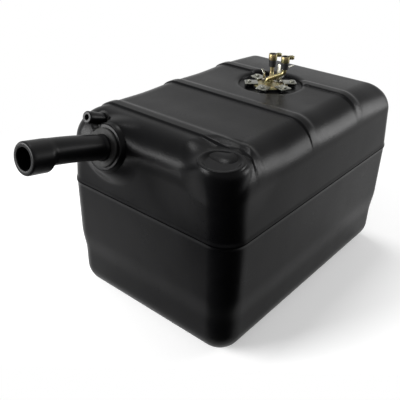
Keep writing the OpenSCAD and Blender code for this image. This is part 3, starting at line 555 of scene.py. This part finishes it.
# Rows down the wall, closest at the edges of the parting line
seamRows = np.array([1.2, 0.82, 0.7, 0, -0.7, -0.82, -1.2])
outerLevels = np.concatenate([np.linspace(211, 204.6, 6), tank["seamZ"] + seamRows,
                              np.linspace(201.4, 195, 6), np.linspace(191, tank["bottomR"], 28)])
outer, outerFaces = skinBlock([recess, pad, collar], 0.0, grid["spacing"], outerLevels)
outer = raiseBosses(spotFace(outer, ventFoot, ventAxes, ventSeat))
innerSpacing = 9.0
innerLevels = np.linspace(220, tank["bottomR"], 20)
innerRecess = dict(recess, run=(58.5, 61.0), runRows=3, rings=np.array([(24, -6), (40, -6), (58.5, -6)]))
innerCollar = dict(collar, run=(30.0, 40.0), runRows=4,
                   rings=np.array([(23.25, -12), (27, -12), (30, -14)]))
inner, innerFaces = skinBlock([innerRecess, innerCollar], tank["wall"], innerSpacing, innerLevels)
shell = makePiece("tankShell", [(outer, outerFaces), (inner, innerFaces)],
                  polyethylene, ["tank_shell"], weld=1e-6, crease=48)
print("tank shell:", len(shell.data.polygons), "faces")


# Filler pipe and vent

axisR = 0.05  # turned pieces keep a hole of this radius on their axis
filler = dict(
    inside=34.0, root=10.0, bendR=810.0, bend=7.0, outer=18.25, bore=15.0, flare=1.1, flareAt=8.6,
    flareRun=7.0, hoseR=22.25, hoseLap=13.0, hoseLen=41.0, taper=11.0, drop=3.75, soft=3.0,
    mouthSoft=1.6, mouthLen=6.0, boreLead=6.0, boreRun=14.0, segments=72)


def fillerMesh():
    # Rings along a straight root, one wide bend and the hose end. The hose end is set low, so that the
    # upper line runs through; each ring has a middle, a direction in the plane of the bend and a radius
    g = filler
    bendEnd = g["bendR"] * np.radians(g["bend"])
    hoseAt = g["root"] + bendEnd - g["hoseLap"]
    tip = hoseAt + g["hoseLen"]

    def middle(s, drop):
        # Middle of the pipe at the way s from the wall, moved down by the hose end's drop
        a = np.radians(g["bend"]) * np.clip((s - g["root"]) / bendEnd, 0, 1)
        past = np.maximum(s - g["root"] - bendEnd, 0)
        x = -g["bendR"] * (1 - np.cos(a)) - past * np.sin(a) - drop * np.cos(a)
        z = np.minimum(s, g["root"]) + g["bendR"] * np.sin(a) + past * np.cos(a) - drop * np.sin(a)
        return np.stack([x, np.zeros_like(s), z], 1), a

    # Outside: start, end and number of rings, closer at the grommet and at the step of the hose end
    stretches = ((-g["inside"], g["flareAt"], 8), (9, 20, 8), (24, hoseAt - 2, 20),
                 (hoseAt - 1, hoseAt + g["taper"] + 3, 14), (tip - 26, tip - g["soft"], 8))
    s = np.concatenate([np.linspace(*stretch) for stretch in stretches])
    into = smooth((s - hoseAt + 0.5) / (g["taper"] + 1.0))
    flare = g["flare"] * (1 - smooth((s - g["flareAt"]) / g["flareRun"])) * (s > g["flareAt"])
    r = g["outer"] + flare + (g["hoseR"] - g["outer"]) * into
    # Rounded end, outside and in the mouth, and the bore on the way back
    k = np.linspace(0, np.pi / 2, 7)[1:]
    back = np.linspace(tip - g["mouthLen"], -g["inside"], 24)
    s = np.concatenate([s, tip - g["soft"] * (1 - np.sin(k)), tip - g["mouthSoft"] * (1 - np.cos(k)), back])
    r = np.concatenate([r, g["hoseR"] - g["soft"] * (1 - np.cos(k)),
                        g["bore"] + g["mouthSoft"] * (1 - np.sin(k)), np.full(len(back), g["bore"])])
    low = g["drop"] * np.concatenate([into, np.ones(2 * len(k)),
                                      smooth((back - hoseAt + g["boreLead"]) / g["boreRun"])])
    mids, slope = middle(s, low)
    x, y = circle(g["segments"]).T
    up = np.stack([np.cos(slope), np.zeros_like(s), np.sin(slope)], 1)
    spokes = x[None, :, None] * up[:, None] + y[None, :, None] * (0, 1, 0)
    pts = (mids[:, None] + r[:, None, None] * spokes).reshape(-1, 3)
    return pts @ fillerAxes + fillerFoot, [gridFaces(len(s), g["segments"], closeRows=True)]


def stubRing(g):
    # Section of a turned stub or grommet: a barrel through the wall, and a wider part that stands on it
    inWall = [(g["bore"], -g["deep"]), (g["barrel"], -g["deep"]), (g["barrel"], g["rise"][0])]
    corners = inWall + [(g["wide"], z) for z in g["rise"]] + [(g["bore"], g["rise"][-1])]
    return soften(corners, g["soft"], g["steps"], closed=True)


fillerGrommet = dict(bore=18.3, barrel=23.2, wide=28.25, deep=16.0, rise=(5.02, 8.5),
                     soft=(0.5, 0.5, 0, 0.4, 1.6, 1.2), steps=4)
ventGrommet = dict(bore=6.05, barrel=8.95, wide=12.5, deep=16.0, rise=(0.02, 2.5),
                   soft=(0.4, 0.4, 0, 0.3, 1.0, 0.4), steps=3)
ventSpigot = dict(bore=3.7, barrel=6.0, wide=9.0, deep=19.0, rise=(2.52, 26.0, 33.0),
                  soft=(0.4, 0.4, 0, 0.5, 0, 1.8, 1.0), steps=4)
makePiece("fillerPipe", [fillerMesh()], nylon, ["filler_pipe"])
makePiece("fillerGrommet", [lathe(stubRing(fillerGrommet), fillerFoot, fillerAxes, 72)],
          rubber, ["filler_grommet"])
makePiece("ventGrommet", [lathe(stubRing(ventGrommet), ventFoot, ventAxes, 48)],
          rubber, ["vent_grommet"])
makePiece("ventSpigot", [lathe(stubRing(ventSpigot), ventFoot, ventAxes, 56)],
          nylon, ["vent_spigot"])
print("filler and vent made")


# Sender mount: gasket, flange, clamp plates, washers and screws

def level(z):
    # A point on the sender's axis at a height
    return sender + (0, 0, z)


def spun(a):
    # Axes turned about the upright
    return np.array([[np.cos(a), np.sin(a), 0], [-np.sin(a), np.cos(a), 0], [0, 0, 1.0]])


def placeAt(radius, degrees):
    # Point on the flange from a radius and a direction
    return radius * np.array([np.cos(np.radians(degrees)), np.sin(np.radians(degrees)), 0])


def plateOutline(length, width, corner):
    # Rounded rectangle that starts at x 0, walked anticlockwise in even steps
    roundSteps, points = 5, 48
    o = soften(rectangle(0, length, -width / 2, width / 2), corner, roundSteps, closed=True)
    way = np.concatenate([[0], np.cumsum(np.linalg.norm(np.roll(o, -1, 0) - o, axis=1))])
    at = np.linspace(0, way[-1], points, endpoint=False)
    loop = np.concatenate([o, o[:1]])
    return np.stack([np.interp(at, way, loop[:, 0]), np.interp(at, way, loop[:, 1])], 1)


def holeIn(outline, x, radius):
    # Round hole at x, with one point in the direction of each point of the outline
    a = np.arctan2(outline[:, 1], outline[:, 0] - x)
    return np.stack([x + radius * np.cos(a), radius * np.sin(a)], 1)


cross = dict(half=0.95, halfSoft=0.5, reach=2.6, reachSoft=0.8, deep=1.2)


def screwHead(r, h, dome):
    # Pan head with a cross recess: height over the plan is a domed disc less the cross, whose arms
    # have soft walls
    segments, domePower, sideDrop, sideRows = 64, 3.5, 0.3, 4
    rad = r * np.concatenate([np.linspace(0.02, 0.7, 12), np.linspace(0.74, 1, 6)])[:, None]
    ring = circle(segments)
    x, y = rad * ring[:, 0], rad * ring[:, 1]

    def arm(u, v):
        # One bar of the cross
        return (smooth((cross["half"] - np.abs(u)) / cross["halfSoft"])
                * smooth((cross["reach"] - np.abs(v)) / cross["reachSoft"]))

    z = h - dome * (rad / r) ** domePower - cross["deep"] * np.maximum(arm(x, y), arm(y, x))
    side = [np.column_stack([r * ring, np.full(segments, v)])
            for v in np.linspace(h - dome - sideDrop, 0, sideRows)]
    pts = np.concatenate([np.stack([x, y, z], -1), side])
    return pts.reshape(-1, 3), cappedFaces(len(pts), segments)


gasket = dict(inner=24.0, outer=30.0, thick=2.5, soft=0.6)
box = rectangle(gasket["inner"], gasket["outer"], 0, gasket["thick"])
ring = lathe(soften(box, gasket["soft"], 3, closed=True), level(mount["floorZ"]), segments=72)
makePiece("senderGasket", [ring], rubber, ["sender_gasket"])

# The flange has a pressed groove, and a brazed fillet round each pipe's foot
flange = dict(radius=30.0, thick=2.2, middle=0.3, grooveTop=1.7, groove=(24.5, 23.5, 21.5, 20.5),
              soft=(0, 0.5, 0.9, 0.6, 0.6, 0.6, 0.6, 0), segments=96, beadSink=0.05,
              bead=soften([(3.45, 0), (5.6, 0), (3.9, 1.9), (3.45, 2.1)], (0, 0, 0.8, 0), 5))
runs = {"feed": dict(foot=placeAt(11, 30), top=placeAt(19, 30), slant=45.0, low=28.0, lift=0.0),
        "return": dict(foot=placeAt(6.5, 95), top=placeAt(21.5, -63), slant=65.0, low=289.7, lift=2.5)}
heights = (flange["thick"], flange["grooveTop"], flange["grooveTop"], flange["thick"])
corners = [(flange["middle"], 0), (flange["radius"], 0), (flange["radius"], flange["thick"]),
           *zip(flange["groove"], heights), (flange["middle"], flange["thick"])]
blocks = [lathe(soften(corners, flange["soft"], 4), level(mount["flangeZ"]), segments=flange["segments"],
                closed=False)]
for run in runs.values():
    foot = level(mount["plateZ"] - flange["beadSink"]) + run["foot"]
    blocks.append(lathe(flange["bead"], foot, segments=40))
makePiece("senderFlange", blocks, yellowZinc, ["sender_flange"], crease=50)

plate = dict(length=22.0, width=19.0, thick=2.5, overhang=7.0, corner=1.8, hole=2.8, edge=0.55)
washer = dict(inner=2.8, outer=4.1, thick=0.75, height=0.8, gap=12.0, steps=40, turned=1.1)
screw = dict(headR=4.3, headT=2.2, dome=1.0, turned=0.7, first=0.3,
             shank=[(axisR, -12), (2.2, -12), (2.5, -11.4), (2.5, 0.3), (axisR, 0.3)])
outline = plateOutline(plate["length"], plate["width"], plate["corner"])
outline += (mount["circle"] + plate["overhang"] - plate["length"], 0)
hole = holeIn(outline, mount["circle"], plate["hole"])
headPts, headFaces = screwHead(screw["headR"], screw["headT"], screw["dome"])
coil = np.radians(np.linspace(washer["gap"], 360 - washer["gap"], washer["steps"]))  # split spring washer
box = rectangle(washer["inner"], washer["outer"], 0, washer["thick"])
washers, screws = [], []
for i, a in enumerate(plateAngles):
    solid = plateSolid(outline, hole, plate["thick"], plate["edge"], level(mount["plateZ"]), spun(a))
    makePiece("clampPlate%d" % (i + 1), [solid], brightZinc, ["clamp_plate_%d" % (i + 1)],
              crease=50)
    at = level(mount["headZ"]) + mount["circle"] * np.array([np.cos(a), np.sin(a), 0])
    band = [np.column_stack([box[:, 0] * np.cos(t), box[:, 0] * np.sin(t), box[:, 1]])
            for t in coil + washer["turned"] * i]
    washers.append((np.concatenate(band) + at, cappedFaces(len(coil), len(box))))
    up = at + (0, 0, washer["height"])
    screws += [(headPts @ spun(screw["turned"] * i + screw["first"]) + up, headFaces),
               lathe(screw["shank"], up, segments=24)]
makePiece("springWashers", washers, brightZinc, ["spring_washers"], crease=40)
makePiece("clampScrews", screws, brightZinc, ["clamp_screws"], crease=50)
print("sender mount made")


# Pipes and hoses on the flange

pipe = dict(start=319.7, outer=3.5, bore=2.5, bendR=6.0, top=357.2, segments=36)
hose = dict(foot=340.7, length=21.5, radius=6.0, bore=3.6, footR=5.5, topR=5.6, lipR=4.1, lip=0.4,
            bandAt=6.0, bulge=0.28, bulgeAt=6.3, bulgeRun=1.4, waist=0.05, waistRun=5.0)
clip = dict(width=10.0, thick=1.0, tail=8.0, turned=np.radians(-28.0), gap=0.05, earGap=3.0, earHeight=5.6,
            earStart=1.2, earMid=0.55, earTurn=0.12, earRows=10, fallAt=0.4, fallRun=1.4, soft=0.35)
clipZ = hose["foot"] + hose["length"] - clip["width"]


def bentLine(run):
    # Double bend: upright, an arc over to the slant, a straight, the arc back and upright again
    below, bend, above = 12, 14, 6  # points on each stretch
    over = run["top"] - run["foot"]
    reach, a = np.linalg.norm(over), np.radians(run["slant"])
    r = pipe["bendR"]
    straight = (reach - 2 * r * (1 - np.cos(a))) / np.sin(a)
    height = 2 * r * np.sin(a) + straight * np.cos(a)
    t = np.linspace(0, a, bend)
    aside = r * (1 - np.cos(t))
    x = np.concatenate([np.zeros(below), aside, reach - aside[::-1], np.full(above, reach)])
    z = np.concatenate([np.linspace(run["low"] - pipe["start"], -0.5, below), r * np.sin(t),
                        height - r * np.sin(t[::-1]),
                        np.linspace(height + 1, pipe["top"] + run["lift"] - pipe["start"], above)])
    way = over / reach
    path = level(pipe["start"]) + run["foot"] + x[:, None] * way + z[:, None] * (0, 0, 1)
    return sweepTube(path, pipe["outer"], pipe["bore"], np.cross(way, (0, 0, 1)), pipe["segments"])


def clipBand(top):
    # Band clip: a strip that runs along one ear, round the hose and out along the other ear, with its
    # edges rounded; the strip's section is carried along that line and is lower at the ears
    g = clip
    inner, half = hose["radius"] + g["gap"], g["earGap"] / 2
    start = np.arcsin(half / inner) + g["earTurn"]
    arc = np.linspace(start, turn - start, 72)
    ear = np.linspace(inner + g["thick"] + g["tail"], inner + g["earStart"], g["earRows"])
    earY = np.full(g["earRows"], half + g["earMid"])
    mid = np.concatenate([np.stack([ear, earY], 1),
                          (inner + g["thick"] / 2) * np.stack([np.cos(arc), np.sin(arc)], 1),
                          np.stack([ear[::-1], -earY], 1)])
    t = unit(np.gradient(mid, axis=0))
    out = np.stack([t[:, 1], -t[:, 0]], 1)
    section = soften(rectangle(-g["thick"] / 2, g["thick"] / 2, 0, g["width"]), g["soft"], 3, closed=True)
    onEar = np.zeros(g["earRows"])
    along = np.concatenate([onEar, inner * np.minimum(arc - arc[0], arc[-1] - arc), onEar])
    low = (g["width"] - g["earHeight"]) * (1 - smooth((along - g["fallAt"]) / g["fallRun"]))
    z = low[:, None] + (1 - low / g["width"])[:, None] * section[None, :, 1]
    pts = np.concatenate([mid[:, None] + out[:, None] * section[None, :, :1], z[:, :, None]], -1)
    return (pts.reshape(-1, 3) @ spun(g["turned"]) + level(clipZ) + top,
            cappedFaces(len(mid), len(section)))


def hoseMesh(top):
    # Hose: thick wall with blunt ends, a slight waist under the band and a swell below it; both are
    # bell curves over the height
    g = hose
    z = np.linspace(0, g["length"], 60)[1:-1]
    band = z - g["length"] + g["bandAt"]
    swell = (g["bulge"] * np.exp(-((band + g["bulgeAt"]) / g["bulgeRun"]) ** 2)
             - g["waist"] * np.exp(-(band / g["waistRun"]) ** 8))
    profile = np.concatenate([
        [(g["bore"], 0.0), (g["footR"], 0.0)], np.column_stack([g["radius"] + swell, z]),
        [(g["topR"], g["length"]), (g["lipR"], g["length"]), (g["bore"], g["length"] - g["lip"])]])
    return lathe(profile, level(g["foot"]) + top, segments=48)


for name, run in runs.items():
    top = run["top"] + (0, 0, run["lift"])
    makePiece(name + "Pipe", [bentLine(run)], yellowZinc, [name + "_pipe"], crease=60)
    makePiece(name + "HoseStub", [hoseMesh(top)], rubber, [name + "_hose_stub"], crease=60)
    makePiece(name + "HoseClip", [clipBand(top)], yellowZinc, [name + "_hose_clip"],
              crease=50)

clipScrew = dict(place=(11.05, -2.7, 7.2), headR=2.8, headT=2.0, dome=0.6, nutR=2.9, nutT=1.9, nutEdge=0.25,
                 nutAt=5.45, shank=[(axisR, -0.2), (1.5, -0.2), (1.5, 7.0), (1.2, 7.4), (axisR, 7.4)])
facing = axesFor((0, 1, 0), (1, 0, 0)) @ spun(clip["turned"])
pts, faces = screwHead(clipScrew["headR"], clipScrew["headT"], clipScrew["dome"])
head = pts * (1, -1, -1) @ facing
blocks = []
for run in runs.values():
    foot = np.array(clipScrew["place"]) @ spun(clip["turned"]) + level(clipZ + run["lift"]) + run["top"]
    blocks += [(head + foot, faces), lathe(clipScrew["shank"], foot, facing, 20),
               plateSolid(clipScrew["nutR"] * circle(6), None, clipScrew["nutT"], clipScrew["nutEdge"],
                          foot + facing[2] * clipScrew["nutAt"], facing)]
makePiece("clipScrews", blocks, yellowZinc, ["clip_screws"], crease=40)
print("pipes and hoses made")


# Terminals on the flange

terminals = dict(signal=dict(at=(18.3, -36), rise=21.0, length=22.0, lean=74.0),
                 warning=dict(at=(16.5, 78), rise=12.0, length=9.0, lean=40.0))
blade = dict(foot=2.5, halfT=0.4, halfWid=2.4, edge=0.28, bendR=1.6, bendLead=2.0, tipCut=1.4, tipRows=3,
             tipT=0.45, tipStep=0.18, tipWid=0.35,
             stud=soften([(axisR, -10.7), (1.5, -10.7), (1.5, 0), (2.3, 0), (1.9, 1.1), (axisR, 1.3)],
                         (0, 0.3, 0, 0.2, 0.5, 0), 3))
bush = soften([(1.55, -5.2), (2.6, -5.2), (2.6, 1.6), (3.6, 1.6), (3.6, 2.5), (1.55, 2.5)],
              (0, 0.3, 0, 0.3, 0.6, 0), 3)


def bladeMesh(spot):
    # Blade: a thin strip with rounded edges and a tapered tip, carried up from its stud and round the
    # bend; the stud and its rivet head are turned
    g = blade
    a = np.radians(spot["lean"])
    t = np.linspace(0, a, 10)
    bendZ = spot["rise"] - g["bendLead"]
    up = np.stack([np.zeros(8), np.linspace(0, bendZ, 8)], 1)
    bend = np.stack([g["bendR"] * (1 - np.cos(t)), bendZ + g["bendR"] * np.sin(t)], 1)
    ahead = np.linspace(1, spot["length"] - g["tipCut"], 14)
    line = np.concatenate([up, bend, bend[-1] + ahead[:, None] * (np.sin(a), np.cos(a))])
    way = unit(np.gradient(line, axis=0))
    out = np.stack([way[:, 1], -way[:, 0]], 1)
    corners = rectangle(-g["halfT"], g["halfT"], -g["halfWid"], g["halfWid"])
    section = soften(corners, g["edge"], 3, closed=True)
    end = len(line) - 1 - np.arange(len(line))
    thin = np.where(end < g["tipRows"], g["tipT"] + g["tipStep"] * end, 1.0)[:, None]
    aside = section[None, :, 0] * thin
    pts = np.stack([line[:, None, 0] + out[:, None, 0] * aside,
                    section[None, :, 1] * (g["tipWid"] + (1 - g["tipWid"]) * thin),
                    line[:, None, 1] + out[:, None, 1] * aside], -1)
    strip = (pts.reshape(-1, 3), cappedFaces(len(line), len(section)))
    at = level(mount["plateZ"] + g["foot"]) + placeAt(*spot["at"])
    facing = spun(np.radians(spot["at"][1]))
    return [(p @ facing + at, f) for p, f in (strip, lathe(g["stud"], segments=24))]


bushes = []
for name, spot in terminals.items():
    makePiece(name + "Blade", bladeMesh(spot), tinnedBrass, [name + "_blade"], crease=45)
    bushes.append(lathe(bush, level(mount["plateZ"]) + placeAt(*spot["at"]), segments=28))
makePiece("terminalInsulators", bushes, phenolic, ["terminal_insulators"], crease=50)

earth = dict(at=(18.5, -12), length=29.0, width=8.0, thick=1.0, edge=0.2, corners=(0.3, 2.6, 2.6, 0.3),
             hole=11.0, holeR=2.1, footLen=8.0, footCorners=(1.5, 0.3, 0.3, 1.5), seat=-4.0, seatR=1.65)
rivet = dict(under=[(axisR, -3.4), (2.0, -3.4), (2.0, -2.2), (1.6, -2.2), (1.6, 1.0)], headR=3.0, headT=1.2)
earthAt = level(mount["plateZ"]) + placeAt(*earth["at"])
earthFacing = spun(np.radians(earth["at"][1]))


def earthTab():
    # Angle of sheet metal: a flat foot under its rivet and an upright with rounded corners and a hole
    g = earth
    upright = np.array([[0, 0, 1.0], [0, 1, 0], [-1.0, 0, 0]])
    tab = plateOutline(g["length"], g["width"], g["corners"])
    foot = plateOutline(g["footLen"], g["width"], g["footCorners"]) - (g["footLen"], 0)
    parts = ((tab, holeIn(tab, g["hole"], g["holeR"]), upright),
             (foot, holeIn(foot, g["seat"], g["seatR"]), np.eye(3)))
    solids = [plateSolid(o, hole, g["thick"], g["edge"], (0, 0, 0), axes) for o, hole, axes in parts]
    return [(p @ earthFacing + earthAt, faces) for p, faces in solids]


makePiece("earthTab", earthTab(), tinnedBrass, ["earth_tab"], crease=45)
t = np.linspace(0, np.pi / 2, 7)
dome = np.stack([rivet["headR"] * np.cos(t), earth["thick"] + rivet["headT"] * np.sin(t)], 1)
dome[-1, 0] = axisR
foot = earthAt + np.array([earth["seat"], 0, 0]) @ earthFacing
makePiece("earthRivet", [lathe(np.concatenate([rivet["under"], dome]), foot, segments=28)],
          brightZinc, ["earth_rivet"], crease=50)
print("terminals made")


# Studio: camera, floor, light and the white surroundings

def stand(thing, axes, place):
    # Links a camera or a lamp in at a place, with its own three axes
    bpy.context.scene.collection.objects.link(thing)
    matrix = np.eye(4)
    matrix[:3, :3] = np.stack(axes, 1)
    matrix[:3, 3] = np.array(place) * mm
    thing.matrix_world = Matrix(matrix.tolist())


def seenDirectly(tree):
    # 1 for rays of the camera, mirror reflections and glass, 0 for the rest
    path = add(tree, "LightPath")
    value = path.outputs["Is Camera Ray"]
    for kind in ("Is Glossy Ray", "Is Transmission Ray"):
        value = add(tree, "Math", {0: value, 1: path.outputs[kind]}, operation="MAXIMUM").outputs["Value"]
    return value


view = dict(place=(-731.47, -516.25, 633.55), right=(0.64588, -0.76317, 0.0206), lens=52.321, sensor=36.0,
            down=(-0.36971, -0.33627, -0.86616), ahead=(0.66795, 0.55181, -0.49935))
camera = bpy.data.objects.new("camera", bpy.data.cameras.new("camera"))
stand(camera, (view["right"], np.negative(view["down"]), np.negative(view["ahead"])), view["place"])
camera.data.sensor_width, camera.data.lens = view["sensor"], view["lens"]
camera.data.clip_start = 0.01
bpy.context.scene.camera = camera

# White floor sheet that ends in front of the picture, and from there on a dark sheet which the camera
# doesn't see: painted shade, put there so that the tank's near corner and lower walls reflect dark. Sizes
# of the floor are in metres
ground = dict(ahead=np.array([0.7709, 0.6369]), side=np.array([0.6369, -0.7709]), frontEdge=-0.285,
              reach=6.0, low=-0.0003, lift=0.33, fadeFrom=0.45, fadeTo=0.8)
edge, reach = ground["frontEdge"], ground["reach"]
sheets = {}
for name, near, far in (("floor", edge, reach), ("reflectedShadeSheet", -reach, edge)):
    corners = [(*(ground["ahead"] * d + ground["side"] * w), ground["low"])
               for d, w in ((near, -reach), (near, reach), (far, reach), (far, -reach))]
    mesh = bpy.data.meshes.new(name)
    mesh.from_pydata(corners, [], [(0, 1, 2, 3)])
    sheets[name] = bpy.data.objects.new(name, mesh)
    bpy.context.scene.collection.objects.link(sheets[name])
sheets["reflectedShadeSheet"].visible_camera = False
# Dark paint of the hidden sheet: painted shade that only the tank's reflections show
shadeSheetPaint = startMaterial("ReflectedShadePaint", {"Base Color": tint("1c1c1c"), "Roughness": 0.9})[0]
sheets["reflectedShadeSheet"].data.materials.append(shadeSheetPaint)

# Painted white floor; for the camera and for mirror reflections it is lifted towards plain white and
# fades into it away from the tank, and the tank's shadow stays on it
paint, tree, shader = startMaterial("WhiteFloorPaint", {
    "Base Color": tint("f4f4f4"), "Roughness": 0.9, "Specular IOR Level": 0.0})
seen = seenDirectly(tree)
lift = add(tree, "Math", {0: seen, 1: ground["lift"]}, operation="MULTIPLY")
glow = add(tree, "Emission", {"Color": (1, 1, 1, 1), "Strength": lift.outputs["Value"]})
both = add(tree, "AddShader", {0: shader.outputs["BSDF"], 1: glow.outputs["Emission"]})
away = add(tree, "VectorMath", {0: add(tree, "TexCoord").outputs["Object"]}, operation="LENGTH")
far = add(tree, "MapRange", {"Value": away.outputs["Value"], "From Min": ground["fadeFrom"],
                             "From Max": ground["fadeTo"], "To Max": 1.0}, interpolation_type="SMOOTHSTEP")
far = add(tree, "Math", {0: far.outputs["Result"], 1: seen}, operation="MULTIPLY")
white = add(tree, "Emission", {"Color": (1, 1, 1, 1), "Strength": 1.0})
faded = add(tree, "MixShader", {0: far.outputs["Value"], 1: both.outputs["Shader"],
                                2: white.outputs["Emission"]})
tree.links.new(faded.outputs["Shader"], tree.nodes["Material Output"].inputs["Surface"])
sheets["floor"].data.materials.append(paint)

# Surroundings: plain white where they are seen, and a weaker light elsewhere
world = bpy.data.worlds.new("studio")
bpy.context.scene.world = world
world.use_nodes = True
tree = world.node_tree
shown = add(tree, "MapRange", {"Value": seenDirectly(tree), "To Min": 0.25, "To Max": 1.0})
tree.links.new(shown.outputs["Result"], tree.nodes["Background"].inputs["Strength"])
tree.nodes["Background"].inputs["Color"].default_value = (1, 1, 1, 1)

softBoxes = dict(
    left=dict(place=(-1680, 1140, 650), aim=(-100, 0, 300), size=(1300, 820), power=74),
    right=dict(place=(1520, -1240, 520), aim=(-50, -100, 300), size=(850, 780), power=20),
    above=dict(place=(300, 400, 1900), aim=(0, 0, 250), size=(600, 450), power=13))
steep = 0.95  # a lamp that points down more than this takes its upper side from x
for name, box in softBoxes.items():
    lamp = bpy.data.lights.new(name, "AREA")
    lamp.shape, lamp.size, lamp.size_y = "RECTANGLE", box["size"][0] * mm, box["size"][1] * mm
    lamp.energy = box["power"]
    to = np.array(box["aim"], float) - box["place"]
    facing = axesFor(-to, (0, 0, 1) if abs(to[2]) < steep * np.linalg.norm(to) else (1, 0, 0))
    across = np.cross(facing[0], facing[2])
    stand(bpy.data.objects.new(name, lamp), (across, facing[0], facing[2]), box["place"])

bpy.context.scene.view_settings.view_transform = "Standard"
print("studio set")
